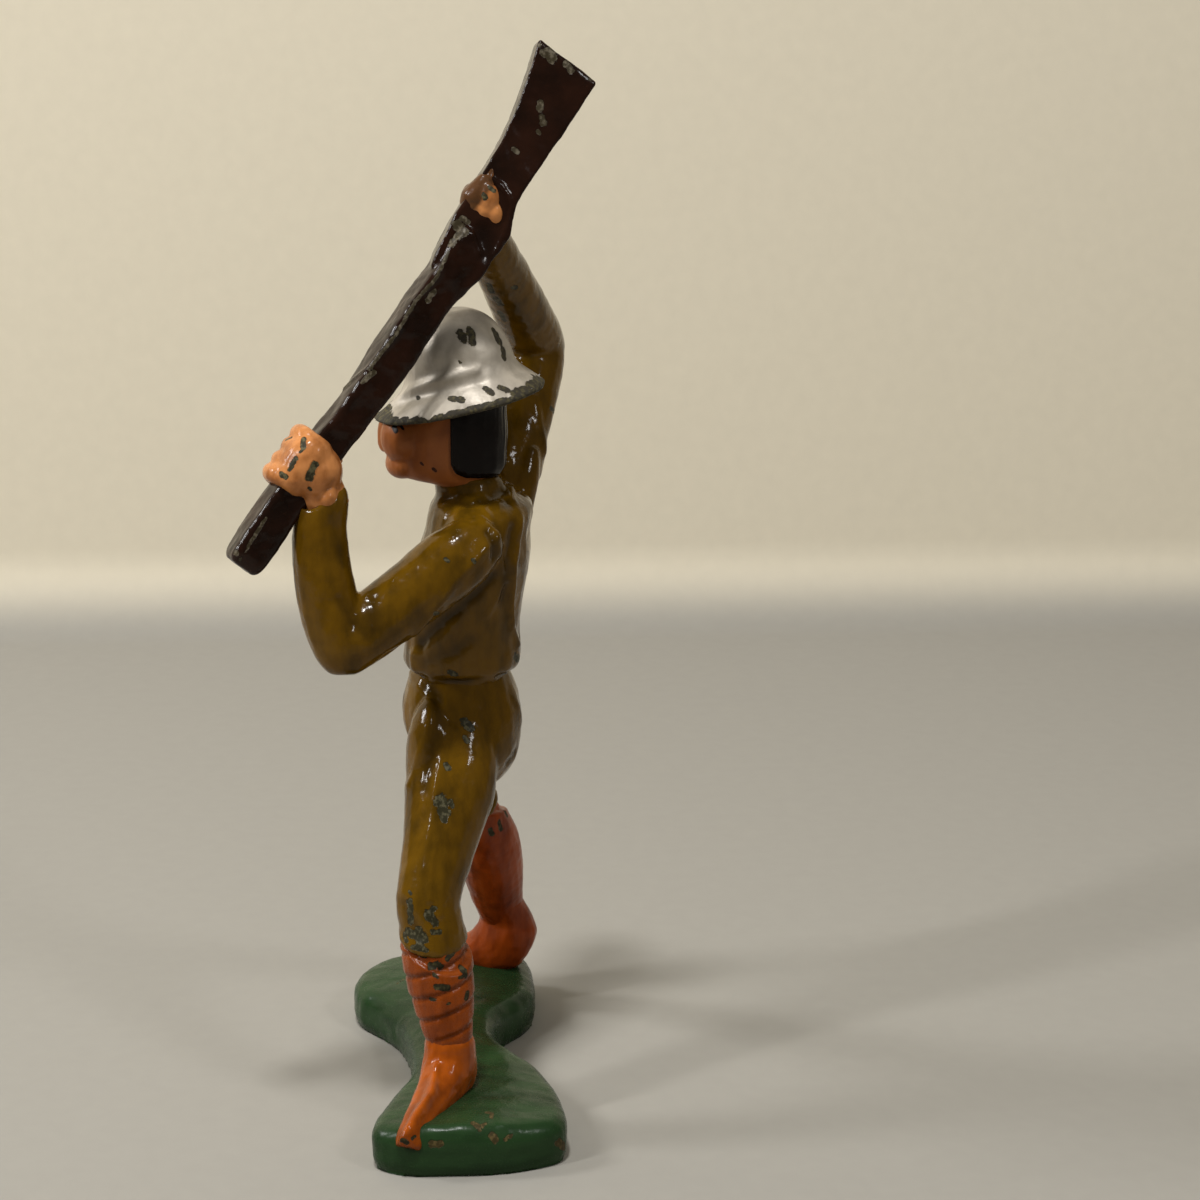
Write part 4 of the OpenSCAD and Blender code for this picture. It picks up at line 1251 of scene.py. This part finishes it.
    def build(self) -> None:
        """Fuses trunk, collar and sleeves, then presses the seams and folds."""
        right_lower = self.lower[:-1] + self.hidden
        limbs = (
            ("left_upper_form", along(POSE.left_shoulder, POSE.left_elbow, self.upper, self.sleeve)),
            ("right_upper_form", along(POSE.right_shoulder, POSE.right_elbow, self.upper, self.sleeve)),
            ("left_lower_form", along(POSE.left_elbow, POSE.left_cuff, self.lower, self.cuff, 1)),
            ("right_lower_form", along(POSE.right_elbow, POSE.right_cuff, right_lower, self.cuff)),
        )
        forms = [raise_form("trunk_form", level_rings(self.trunk, self.turn)),
                 raise_form("collar_form", level_rings(self.collar)),
                 ball("left_yoke_form", *self.left_yoke), ball("right_yoke_form", *self.right_yoke),
                 raise_form("right_back_form", limb_rings(self.right_back))]
        for name, rows in limbs:
            rings = limb_rings(rows)
            if name == "left_lower_form":
                tip = Vector((0, 0, -self.slant))
                rings[-4:] = [Ring(ring.middle, ring.wide, ring.deep + tip) for ring in rings[-4:]]
            forms.append(raise_form(name, rings))
        skin = self.casting.skin("tunic_casting", forms)
        skin.trace(self.creases)
        skin.fold(self.far_folds)
        skin.chip(self.chips)
        skin.keep_in(whole_box())
        hand_over(skin, Paint.KHAKI, self.nodes)


@dataclass
class Head:
    """The head with its plain painted face, and the hair behind it."""

    casting: Casting = Casting(0.15, 8)
    rows: Rows = (
        (57.4, 2.6, 2.4, 2.0), (58.6, 2.85, 2.7, 1.75), (59.35, 3.4, 4.4, 0.45), (60.3, 3.8, 5.2, 0.22),
        (61.6, 4.1, 5.3, 0.2), (63.1, 4.3, 5.35, 0.25), (64.4, 4.35, 5.15, 0.4), (65.6, 4.3, 4.6, 0.9),
        (66.8, 4.15, 4.0, 1.6), (68.2, 3.9, 3.8, 1.7), (70.5, 3.4, 3.4, 1.4), (72.2, 2.4, 2.4, 1.15),
        (73.0, 1.2, 1.2, 1.05),
    )
    nose: Rows = (
        (0, -4.4, 65.4, 0.9, 1.0), (0, -4.7, 64.4, 1.1, 1.2), (0, -4.85, 63.4, 1.2, 1.3),
        (0, -4.9, 62.7, 1.25, 1.28), (0, -4.75, 62.1, 1.2, 1.15), (0, -4.4, 61.8, 0.9, 0.8),
    )
    left_cheek: Vector = Vector((1.45, -3.75, 63.2))
    right_cheek: Vector = Vector((-1.45, -3.75, 63.2))
    cheek_half: Vector = Vector((2.45, 2.1, 2.5))
    chin: Vector = Vector((0, -3.85, 60.5))
    chin_half: Vector = Vector((2.9, 1.62, 1.4))
    eye: Chips = (
        (((394, 427), (395, 429), (396, 431)), 0.36), (((397, 425), (401, 426), (403, 429)), 0.17),
    )
    mouth: Folds = ((((-1.6, -5.1, 61.4), (0, -5.6, 61.4), (1.6, -5.1, 61.4)), 0.26, 0.2),)
    chips: Chips = ((((434, 469), (436, 471)), 0.22), (((421, 463), (423, 465)), 0.15))
    hair_casting: Casting = Casting(0.15, 12)
    hair_proud: float = 0.3
    hair_front: float = 0.55
    hair_low: float = 59.9
    hair_high: float = 67.6
    strand_ends: Rows = ((59.9, 4.9, 5.8, 0.4), (67.6, 4.6, 4.6, 1.2))
    strand_turns: range = range(8, 188, 15)
    strand_width: float = 0.22
    strand_depth: float = 0.07

    def build(self) -> None:
        """Builds the face and the hair."""
        forms = [
            raise_form("head_form", level_rings(self.rows)),
            raise_form("nose_form", limb_rings(self.nose)),
            ball("left_cheek", self.left_cheek, self.cheek_half),
            ball("right_cheek", self.right_cheek, self.cheek_half),
            ball("chin_form", self.chin, self.chin_half),
        ]
        skin = self.casting.skin("head_casting", forms)
        for sign in (-1, 1):
            for pixels, reach in self.eye:
                stroke = LENS.on(skin.obj, pixels)
                skin.paint([Vector((sign * spot.x, spot.y, spot.z)) for spot in stroke], reach)
        skin.fold(self.mouth)
        skin.keep_in(box_of("head"))
        skin.chip(self.chips)
        hand_over(skin, Paint.FACE, ("head",))
        self.hair()

    def hair(self) -> None:
        """Cuts the hair from a slightly larger head and draws its strands."""
        proud, front, low, high = self.hair_proud, self.hair_front, self.hair_low, self.hair_high
        grown = tuple((z, wide + proud, deep + proud, back) for z, wide, deep, back in self.rows[2:10])
        obj = raise_form("hair_form", level_rings(grown))
        bpy.ops.object.mode_set(mode="EDIT")
        cuts = (
            ((0, front, 0), (0, -1, 0)),
            ((0, 0, low), (0, -0.12, -1)),
            ((0, 0, high), (0, 0.19, 1)),
            ((0, front + 0.2, low + 0.7), (0, -1, -0.5)),
            ((0, front + 0.7, low + 0.1), (0, -0.5, -1)),
        )
        for place, normal in cuts:
            bpy.ops.mesh.select_all(action="SELECT")
            bpy.ops.mesh.bisect(plane_co=Vector(place) * MM, plane_no=normal, use_fill=True,
                                clear_outer=True, threshold=1e-7)
        bpy.ops.mesh.select_all(action="SELECT")
        bpy.ops.mesh.normals_make_consistent(inside=False)
        bpy.ops.object.mode_set(mode="OBJECT")
        skin = self.hair_casting.skin("hair_casting", [obj])
        for turn in self.strand_turns:
            angle = math.radians(turn)
            strand = [Vector((wide * math.cos(angle), back + deep * math.sin(angle), z))
                      for z, wide, deep, back in self.strand_ends]
            skin.press(strand, self.strand_width, self.strand_depth)
        hand_over(skin, Paint.HAIR, ("hair",))


@dataclass
class Helmet:
    """The pressed tin helmet: a high crown, a sloping brim and a ragged edge."""

    middle: Vector = Vector((0, 2.24, 66.72))
    tilt: float = math.radians(12.3)
    brim: float = 7.25
    crown: float = 5.1
    rise: float = 8.25
    drop: float = 0.55
    peak: float = 1.7
    tin: float = 0.5
    steps: int = 160
    shares: Rows = (
        (0, 0, 1), (0.16, 0, 0.99), (0.33, 0, 0.965), (0.62, 0, 0.855), (0.82, 0, 0.69), (0.93, 0, 0.5),
        (0.98, 0, 0.34), (1, 0.14, 0.22), (1, 0.57, 0.09), (1, 0.9, 0.0),
    )
    dents: Grooves = (
        (((450, 356), (462, 362)), 1.2, 0.1), (((478, 372), (500, 366), (520, 362)), 1.1, 0.16),
        (((455, 330), (462, 318)), 1.2, 0.14), (((484, 322), (496, 330)), 1.2, 0.16),
        (((410, 402), (430, 394), (452, 388), (480, 382)), 0.6, 0.16),
        (((400, 404), (412, 391), (430, 383), (450, 378), (476, 370)), 0.45, -0.24),
        (((424, 374), (446, 366), (470, 360)), 0.7, 0.12), (((457, 358), (461, 364)), 0.28, 0.12),
        (((515, 372), (528, 370)), 0.9, 0.14), (((430, 350), (445, 325)), 0.9, -0.1),
    )
    dent_shade: float = 0.15
    fray_wide: float = 0.9
    fray_trim: float = 0.06
    fray_rise: float = 0.8
    fray_waves: Rows = (
        (0.07, 3, 0.4), (0.05, 7, 1.3), (0.035, 19, 2.1), (0.03, 43, 0.2), (0.02, 71, 3.0),
    )
    peak_start: float = 3.8
    chips: Chips = (
        (((460, 332), (464, 339)), 0.52), (((471, 330), (472, 342)), 0.55),
        (((496, 331), (500, 342)), 0.6), (((503, 349), (505, 356)), 0.5),
        (((485, 388), (492, 393)), 0.42), (((500, 387), (508, 391)), 0.4),
        (((420, 396), (422, 397)), 0.2), (((452, 398), (462, 400)), 0.4),
        (((514, 394), (528, 388)), 0.55), (((530, 386), (541, 378)), 0.6),
        (((534, 375), (537, 380)), 0.4),
    )
    worn_reach: float = 0.22
    worn_waves: Rows = ((0.16, 5, 0.8), (0.1, 17, 0), (0.1, 31, 1))
    rim_reach: float = 0.25
    rim_least: float = 0.12
    rim_height: float = 0.25
    under_dark: float = 0.7
    front_start: float = 5.9
    front_fade: float = 0.5
    front_height: float = 2.5

    def profile(self) -> list[Vector]:
        """The outline of the shell, from the top down its outside and back up its inside."""
        outside = []
        for crown, brim, height in smooth_rows(self.shares, 3):
            radius = crown * self.crown + brim * (self.brim - self.crown)
            outside.append(Vector((radius, 0, height * self.rise)))
        outside += [Vector((self.brim, 0, -self.drop / 2)), Vector((self.brim - 0.1, 0, -self.drop))]
        inside = []
        for i in range(len(outside) - 3, 0, -1):
            run = (outside[i + 1] - outside[i - 1]).normalized()
            inside.append(outside[i] + Vector((run.z, 0, -run.x)) * self.tin)
        edge = Vector((self.brim - self.tin, 0, -self.drop))
        return outside + [edge] + inside + [Vector((0, 0, self.rise - self.tin))]

    def build(self) -> None:
        """Spins the outline, dents the crown, frays the brim and seats the helmet on the head."""
        obj = draw_line("helmet_shell", self.profile())
        bpy.ops.object.mode_set(mode="EDIT")
        bpy.ops.mesh.select_all(action="SELECT")
        bpy.ops.mesh.spin(steps=self.steps, angle=2 * math.pi, center=(0, 0, 0), axis=(0, 0, 1))
        bpy.ops.mesh.select_all(action="SELECT")
        bpy.ops.mesh.remove_doubles(threshold=1e-6)
        bpy.ops.mesh.normals_make_consistent(inside=False)
        bpy.ops.transform.rotate(value=-self.tilt, orient_axis="X", center_override=(0, 0, 0))
        bpy.ops.transform.translate(value=self.middle * MM)
        bpy.ops.object.mode_set(mode="OBJECT")
        apply_modifier(obj, "SUBSURF", levels=1, render_levels=1)
        only(obj)
        bpy.ops.object.shade_smooth()
        skin = Skin(obj)
        skin.trace(self.dents)
        skin.crevice *= self.dent_shade
        self.fray(skin)
        skin.chip(self.chips)
        self.wear_rim(skin)
        skin.keep_in(box_of("helmet"), below=(0, self.peak, 0))
        hand_over(skin, Paint.SILVER, ("helmet",))

    def local(self, skin: Skin) -> np.ndarray:
        """The points of the shell about its own upright axis."""
        back = np.array(Matrix.Rotation(-self.tilt, 3, "X"))
        return (skin.start - np.array(self.middle)) @ back.T

    def fray(self, skin: Skin) -> None:
        """Makes the brim's edge uneven and draws it out to a peak at the front."""
        place = self.local(skin)
        radius = np.hypot(place[:, 0], place[:, 1])
        angle = np.arctan2(place[:, 1], place[:, 0])
        edge = np.clip((radius - self.brim + self.fray_wide) / self.fray_wide, 0, 1) ** 2
        wave = sum(share * np.sin(angle * count + turn) for share, count, turn in self.fray_waves)
        outward = place.copy()
        outward[:, 2] = 0
        outward /= np.maximum(radius, 1e-6)[:, None]
        turned = np.array(Matrix.Rotation(self.tilt, 3, "X"))
        shift = outward * (edge * (wave - self.fray_trim))[:, None]
        shift[:, 2] = edge * wave * self.fray_rise
        ahead = np.clip(-place[:, 1] / self.brim, 0, 1) ** 1.5
        out = np.clip((radius - self.peak_start) / (self.brim - self.peak_start), 0, 1)
        shift[:, 1] -= self.peak * ahead * out
        skin.points += shift @ turned.T

    def wear_rim(self, skin: Skin) -> None:
        """Marks the worn band round the brim's edge, and gives the brim's front strip and its underside the
        dark colour that chips show.
        """
        place = self.local(skin)
        radius = np.hypot(place[:, 0], place[:, 1])
        angle = np.arctan2(place[:, 1], place[:, 0])
        ragged = sum((share * np.sin(angle * count + turn) for share, count, turn in self.worn_waves),
                     self.worn_reach)
        rim = 1 - np.abs(radius - self.brim) / np.maximum(self.rim_reach + ragged, self.rim_least)
        rim = np.where(place[:, 2] < self.rim_height, rim, -1)
        # The brim's underside and its front strip get the dark colour that chips show.
        under = np.where(skin.normals[:, 2] < -0.2, self.under_dark, -1)
        front = np.clip((-place[:, 1] - self.front_start) / self.front_fade, -1, 1)
        front = np.where(place[:, 2] < self.front_height, front, -1)
        skin.wear = np.maximum.reduce([skin.wear, rim, under, front])


@dataclass
class Rifle:
    """The rifle: a ridged fore-end, a deeper lock, and a flat flared butt."""

    length: float = 54.2
    fore: float = 3.7
    lock: float = 5.2
    grip: float = 4.1
    butt: float = 6.7
    butt_wide: float = 3.2
    roll: float = 13.0
    swell: float = 1.09
    fore_shares: Rows = (
        (-0.712, -0.02, 0.34), (-0.706, -0.02, 0.44), (-0.69, -0.02, 0.5), (-0.636, -0.01, 0.5),
        (-0.576, 0, 0.5), (-0.446, -0.07, 0.48), (-0.376, -0.12, 0.48), (-0.276, -0.1, 0.54),
        (-0.206, -0.05, 0.52), (-0.156, -0.06, 0.52), (-0.106, -0.13, 0.56), (-0.07, -0.1, 0.6),
        (-0.04, -0.08, 0.5),
    )
    bevels: Rows = ((0.45, 2), (0.95, 4))
    bevel_from: float = math.radians(50)
    casting: Casting = Casting(0.17, 2, 2.4, 0.3)
    nodes: tuple[str, ...] = ("rifle_muzzle_end", "rifle_fore_end", "rifle_receiver", "rifle_butt")
    seams: Grooves = (
        (((492, 179), (501, 185), (508, 195), (511, 208), (508, 222), (503, 236), (495, 254),
          (488, 270)), 0.22, -0.15),
        (((473, 234), (480, 252), (488, 272), (484, 288)), 0.24, -0.13),
        (((486, 232), (489, 245), (490, 256)), 0.8, 0.2),
        (((462, 300), (452, 318), (440, 335)), 0.4, -0.12),
        (((451, 247), (437, 276), (416, 300), (395, 335), (380, 354), (371, 367), (345, 388)), 0.3, -0.14),
    )
    chips: Chips = (
        # The first two chips follow the ridge's highlight line: worn paint there, and partly a painted
        # highlight.
        (((240, 560), (252, 540), (266, 518)), 0.2),
        (((345, 389), (371, 368), (380, 355), (395, 336), (416, 301), (437, 277), (449, 252)), 0.2),
        (((434, 292), (428, 300)), 0.35), (((457, 224), (464, 232)), 0.6),
        (((452, 244), (458, 236)), 0.5), (((462, 218), (468, 222)), 0.35),
        (((362, 382), (374, 372)), 0.3), (((543, 53), (550, 50)), 0.5),
        (((551, 54), (552, 59)), 0.55), (((566, 64), (571, 71)), 0.42),
        (((540, 103), (540, 109)), 0.42), (((542, 117), (543, 123)), 0.4),
        (((538, 131), (540, 133)), 0.24), (((513, 149), (518, 152)), 0.32),
        (((236, 552), (243, 575)), 0.4), (((539, 45), (556, 45)), 0.32),
        (((560, 50), (590, 79)), 0.22),
    )

    def frame(self) -> tuple[Vector, Vector, Vector]:
        """Directions of the rifle: along it, towards its upper edge, and to its near side."""
        ahead = POSE.rifle_dir()
        belly = Vector((1, 0, 0)).cross(ahead).normalized()
        return ahead, belly, ahead.cross(belly)

    def rings(self, rows: Rows) -> list[Ring]:
        """Rings from rows of share of the length, offset in fore-end heights, half height, half width."""
        ahead, belly, side = self.frame()
        made = []
        for share, offset, half_h, half_w in smooth_rows(rows, 2):
            middle = POSE.right_hold + ahead * (share * self.length) + belly * (offset * self.fore)
            made.append(Ring(middle, belly * half_h, side * half_w))
        return made

    def stock_rows(self) -> Rows:
        """The stock's rows, whose half heights and half widths are shares of the part's own."""
        parts = (
            (self.fore, self.fore, ((-0.13, -0.1, 0.5, 0.42),)),
            (self.lock, self.fore,
             ((-0.1, -0.12, 0.45, 0.46), (-0.066, -0.07, 0.47, 0.48), (-0.011, -0.02, 0.5, 0.46))),
            (self.grip, self.fore, ((0.039, 0.14, 0.5, 0.43), (0.084, 0.19, 0.5, 0.42))),
            (self.butt, self.butt_wide,
             ((0.124, 0.22, 0.325, 0.43), (0.184, 0.32, 0.37, 0.45), (0.244, 0.46, 0.435, 0.47),
              (0.278, 0.55, 0.48, 0.48), (0.2835, 0.56, 0.46, 0.4))),
        )
        return tuple((share, offset, half_h * height, half_w * width)
                     for height, width, rows in parts for share, offset, half_h, half_w in rows)

    def build(self) -> None:
        """Builds the fore-end and the stock, rounds their long edges and fuses them."""
        roll = math.radians(self.roll)
        corner = self.swell / (math.cos(roll) + math.sin(roll))
        fore = tuple((share, offset, half * self.fore * corner, half * self.fore * corner)
                     for share, offset, half in self.fore_shares)
        forms = [raise_form("fore_end_form", self.rings(fore), Section.SQUARE, self.roll),
                 raise_form("stock_form", self.rings(self.stock_rows()), Section.SQUARE)]
        for form, (width, segments) in zip(forms, self.bevels):
            apply_modifier(form, "BEVEL", width=width * MM, segments=segments, limit_method="ANGLE",
                           angle_limit=self.bevel_from)
        skin = self.casting.skin("rifle_casting", forms)
        skin.trace(self.seams)
        skin.chip(self.chips)
        skin.keep_in(whole_box())
        hand_over(skin, Paint.BROWN, self.nodes)


@dataclass
class Fist:
    """One closed fist: a palm with four fingers rolled over the rifle, a thumb and a wrist."""

    side: Side
    finger: float = 0.88
    finger_end: float = 0.72
    finger_steps: int = 6
    finger_places: tuple[float, ...] = (-2.15, -0.75, 0.65, 2.05)
    arc: tuple[float, float] = (-150, 75)
    reach: float = 2.35
    over_edge: Seen = (
        ((487, 176), 3.0, 0.6, 0.6), ((481, 187), 3.0, 1.1, 1.0), ((473, 199), 3.0, 1.25, 1.2),
        ((466, 208), 2.9, 0.8, 0.8),
    )
    pointing: Seen = (
        ((486, 192), 3.15, 0.75, 0.75), ((488, 181), 2.85, 0.62, 0.62), ((491, 171), 2.65, 0.42, 0.42),
        ((493, 164), 2.55, 0.25, 0.25),
    )
    flesh: tuple[tuple[str, Pixel, float, Vector], ...] = (
        ("near_flesh", (488, 199), 3.75, Vector((0.7, 1.0, 1.5))),
        ("near_tip", (475, 207), 3.65, Vector((0.62, 0.9, 0.55))),
        ("near_low", (495, 214), 3.7, Vector((0.62, 0.7, 1.0))),
        ("near_mid", (485, 210), 3.7, Vector((0.62, 1.0, 0.85))),
    )
    left_casting: Casting = Casting(0.13, 14, 1.2, 0.12)
    right_casting: Casting = Casting(0.13, 4, 1.2, 0.12)
    left_creases: Grooves = ((((318, 500), (326, 492), (333, 482)), 0.35, 0.15),)
    left_chips: Chips = (
        (((304, 438), (303, 448)), 0.3), (((292, 464), (296, 459)), 0.3),
        (((281, 474), (286, 477)), 0.32), (((309, 478), (315, 464)), 0.46),
        (((286, 440), (291, 438)), 0.24), (((289, 470), (292, 467)), 0.2),
        (((274, 486), (278, 490)), 0.25), (((300, 452), (302, 450)), 0.2),
        (((309, 488), (311, 490)), 0.18),
    )
    right_chips: Chips = ((((484, 195), (485, 197)), 0.38), (((490, 188), (495, 191)), 0.28))
    right_paint: Chips = (
        (((457, 213), (461, 205), (467, 196), (473, 188), (480, 180)), 2.0),
        (((465, 190), (469, 185), (474, 180)), 2.6), (((488, 178), (491, 168)), 0.5),
    )

    def fingers(self, grip: Vector) -> list[bpy.types.Object]:
        """Four fingers, each a short arc about the rifle.

        Args:
            grip: Middle of the hand on the rifle.

        Returns:
            The fingers' forms.
        """
        ahead, belly, side = Rifle().frame()
        start, end = self.arc
        made = []
        for number, along_rifle in enumerate(self.finger_places):
            middle = grip + ahead * along_rifle
            rows = []
            for step in range(self.finger_steps + 1):
                angle = math.radians(start + (end - start) * step / self.finger_steps)
                half = self.finger * (self.finger_end if step in (0, self.finger_steps) else 1)
                place = middle + (belly * math.cos(angle) + side * math.sin(angle)) * self.reach
                rows.append((*place, half, half))
            made.append(raise_form(f"finger_{number}", limb_rings(tuple(rows))))
        return made

    def build(self) -> None:
        """Fuses the hand, presses the crease of the thumb and marks the worn and painted places."""
        name = self.side.value + "_hand_casting"
        if self.side is Side.LEFT:
            skin = self.left_casting.skin(name, self.left_forms())
            skin.chip(self.left_chips)
            skin.trace(self.left_creases)
        else:
            skin = self.right_casting.skin(name, self.right_forms())
            skin.chip(self.right_chips)
            for pixels, reach in self.right_paint:
                skin.paint(LENS.on(skin.obj, pixels), reach)
        hand_over(skin, Paint.FLESH, (self.side.value + "_hand",))

    def left_forms(self) -> list[bpy.types.Object]:
        """The left hand, seen on the back of its fingers."""
        grip, cuff = POSE.left_grip, POSE.left_cuff
        wrist = (cuff - grip).normalized()
        ahead, belly, side = Rifle().frame()
        forms = self.fingers(grip)
        forms.append(ball("palm", grip + side * 0.7 - belly * 0.7, Vector((2.6, 2.5, 2.7))))
        over = grip + side * 1.25 + belly * 0.55
        forms.append(raise_form("hand_back", limb_rings((
            (*(over - ahead * 2.9), 0.9, 0.9), (*(over - ahead * 2.2), 1.75, 1.75),
            (*(over - ahead * 0.8), 2.15, 2.15), (*(over + ahead * 0.8), 2.25, 2.2),
            (*(over + ahead * 2.0), 1.9, 1.8), (*(over + ahead * 2.8), 1.0, 0.9)))))
        forms.append(ball("thumb", LENS.at_x((327, 496), 11.0), Vector((1.6, 1.1, 1.5))))
        forms.append(raise_form("wrist", limb_rings((
            (*(cuff + wrist * 1.2), 1.7, 1.8), (*(cuff - wrist * 0.2), 1.95, 2.1),
            (*(grip + wrist * 0.6), 2.3, 2.4)))))
        return forms

    def right_forms(self) -> list[bpy.types.Object]:
        """The right hand, whose fingers pass behind the stock and show on its upper edge."""
        grip, cuff = POSE.right_grip, POSE.right_cuff
        ahead, belly, side = Rifle().frame()
        wrist = (cuff - grip).normalized()
        hold = POSE.right_hold
        forms = [
            ball("palm", grip + Vector((-1.5, -0.5, 0.2)), Vector((2.1, 1.8, 2.4))),
            ball("knuckles", hold + belly * 1.6 - side * 0.5 - ahead * 0.2, Vector((1.8, 1.0, 2.0))),
            self.finger_seen("over_edge", self.over_edge),
        ]
        for name, pixel, x, half in self.flesh:
            forms.append(ball(name, LENS.at_x(pixel, x), half))
        forms.append(raise_form("wrist", limb_rings((
            (*(cuff + wrist * 1.2), 1.4, 1.4), (*(cuff - wrist * 0.3), 1.6, 1.6),
            (*(grip + wrist * 0.6), 1.8, 1.8)))))
        forms.append(self.finger_seen("pointing_finger", self.pointing))
        return forms

    def finger_seen(self, name: str, seen: Seen) -> bpy.types.Object:
        """A finger through pixels of the photograph, each with its X place and its two half axes."""
        return raise_form(name, limb_rings(tuple(
            (*LENS.at_x(pixel, x), half_w, half_d) for pixel, x, half_w, half_d in seen)))


@dataclass(frozen=True)
class Backdrop:
    """The plain matt colour of the table, which passes softly into that of the wall."""

    name: str = "backdrop_matt"
    table: str = "#9a968d"
    wall: str = "#e0d6bf"
    change_low: float = 0.3
    change_high: float = 9.0
    grain: float = 2.2
    dim: float = 0.93
    roughness: float = 0.85

    def build(self) -> bpy.types.Material:
        """Makes the material, which can't be seen from behind."""
        material = bpy.data.materials.new(self.name)
        material.use_nodes = True
        tree = material.node_tree
        nodes = NodeGroup(tree)
        shader = tree.nodes["Principled BSDF"]
        where = nodes.add("ShaderNodeTexCoord").outputs["Object"]
        split = nodes.add("ShaderNodeSeparateXYZ")
        nodes.join(where, split.inputs[0])
        share = nodes.ramp(split.outputs["Z"], self.change_low * MM, self.change_high * MM)
        plain = nodes.mix(share, linear(self.table), linear(self.wall))
        darker = nodes.add("ShaderNodeMix", data_type="RGBA", blend_type="MULTIPLY")
        darker.inputs[7].default_value = (self.dim, self.dim, self.dim, 1)
        nodes.join(nodes.noise(where, self.grain, 4), darker.inputs[0])
        nodes.join(plain, darker.inputs[6])
        nodes.join(darker.outputs[2], shader.inputs["Base Color"])
        shader.inputs["Roughness"].default_value = self.roughness
        clear = nodes.add("ShaderNodeBsdfTransparent")
        behind = nodes.add("ShaderNodeNewGeometry").outputs["Backfacing"]
        either = nodes.add("ShaderNodeMixShader")
        nodes.join(behind, either.inputs[0])
        nodes.join(shader.outputs[0], either.inputs[1])
        nodes.join(clear.outputs[0], either.inputs[2])
        nodes.join(either.outputs[0], tree.nodes["Material Output"].inputs["Surface"])
        return material


@dataclass
class Studio:
    """A pale table against a pale wall, with plain soft light."""

    wall_x: float = -180.0
    reach: float = 1500.0
    cove: float = 12.0
    cove_steps: int = 8
    sky: float = 0.15
    aim: Vector = Vector((0, 0, 40.0))

    def build(self) -> None:
        """Makes the backdrop and the lights."""
        self.sweep()
        self.lamp("overhead", Vector((130, -45, 550)), 52, 1.75)
        self.lamp("key", Vector((200, -340, 320)), 24, 0.8, 5.5)
        self.lamp("front", Vector((-40, -430, 340)), 80, 1.15, 1.5)
        self.lamp("fill", Vector((280, 310, 340)), 70, 0.45)
        world = bpy.data.worlds.new("studio_world")
        bpy.context.scene.world = world
        world.use_nodes = True
        sky = world.node_tree.nodes["Background"]
        sky.inputs["Color"].default_value = linear("#e6e2da")
        sky.inputs["Strength"].default_value = self.sky

    def sweep(self) -> None:
        """One sheet that runs over the table and curves up into the wall."""
        turn = math.pi / 2 / self.cove_steps
        spots = [Vector((self.reach, 0, 0))]
        for step in range(self.cove_steps + 1):
            back, rise = 1 - math.sin(turn * step), 1 - math.cos(turn * step)
            spots.append(Vector((self.wall_x + self.cove * back, 0, self.cove * rise)))
        spots.append(Vector((self.wall_x, 0, self.reach)))
        obj = draw_line("studio_sweep", [spot - Vector((0, self.reach, 0)) for spot in spots])
        bpy.ops.object.mode_set(mode="EDIT")
        bpy.ops.mesh.select_all(action="SELECT")
        bpy.ops.mesh.extrude_region_move(TRANSFORM_OT_translate={"value": (0, 2 * self.reach * MM, 0)})
        bpy.ops.mesh.select_all(action="SELECT")
        bpy.ops.mesh.normals_make_consistent(inside=False)
        bpy.ops.object.mode_set(mode="OBJECT")
        table = min(obj.data.polygons, key=lambda face: face.center.z)
        if table.normal.z < 0:
            bpy.ops.object.mode_set(mode="EDIT")
            bpy.ops.mesh.flip_normals()
            bpy.ops.object.mode_set(mode="OBJECT")
        bpy.ops.object.shade_smooth_by_angle(angle=math.radians(30))
        obj.data.materials.append(Backdrop().build())
        obj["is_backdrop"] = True

    def lamp(self, name: str, place: Vector, size: float, power: float, tall: float = 1) -> None:
        """One soft light aimed at the figure, so many times as tall as it is wide."""
        data = bpy.data.lights.new(name, "AREA")
        data.shape = "RECTANGLE"
        data.size = size * MM
        data.size_y = size * tall * MM
        data.energy = power
        lamp = bpy.data.objects.new(name, data)
        bpy.context.scene.collection.objects.link(lamp)
        lamp.location = place * MM
        lamp.rotation_mode = "QUATERNION"
        lamp.rotation_quaternion = (self.aim - place).to_track_quat("-Z", "Y")


def main() -> None:
    """Builds the camera, the figure and the studio in order."""
    bpy.context.scene.view_settings.view_transform = "Standard"
    LENS.build()
    Brushwork().build()
    Chipping().build()
    Base().build()
    log.info("base done")
    legs = (Leg(Side.LEFT), Leg(Side.RIGHT, hem_row=6.4))
    for leg in legs:
        Boot(leg.side).build()
        leg.puttee()
    Breeches().build(legs)
    log.info("legs done")
    Tunic().build()
    Head().build()
    Helmet().build()
    log.info("body and head done")
    Rifle().build()
    Fist(Side.LEFT).build()
    Fist(Side.RIGHT).build()
    Studio().build()
    log.info("all pieces done")


if __name__ == "__main__":
    main()
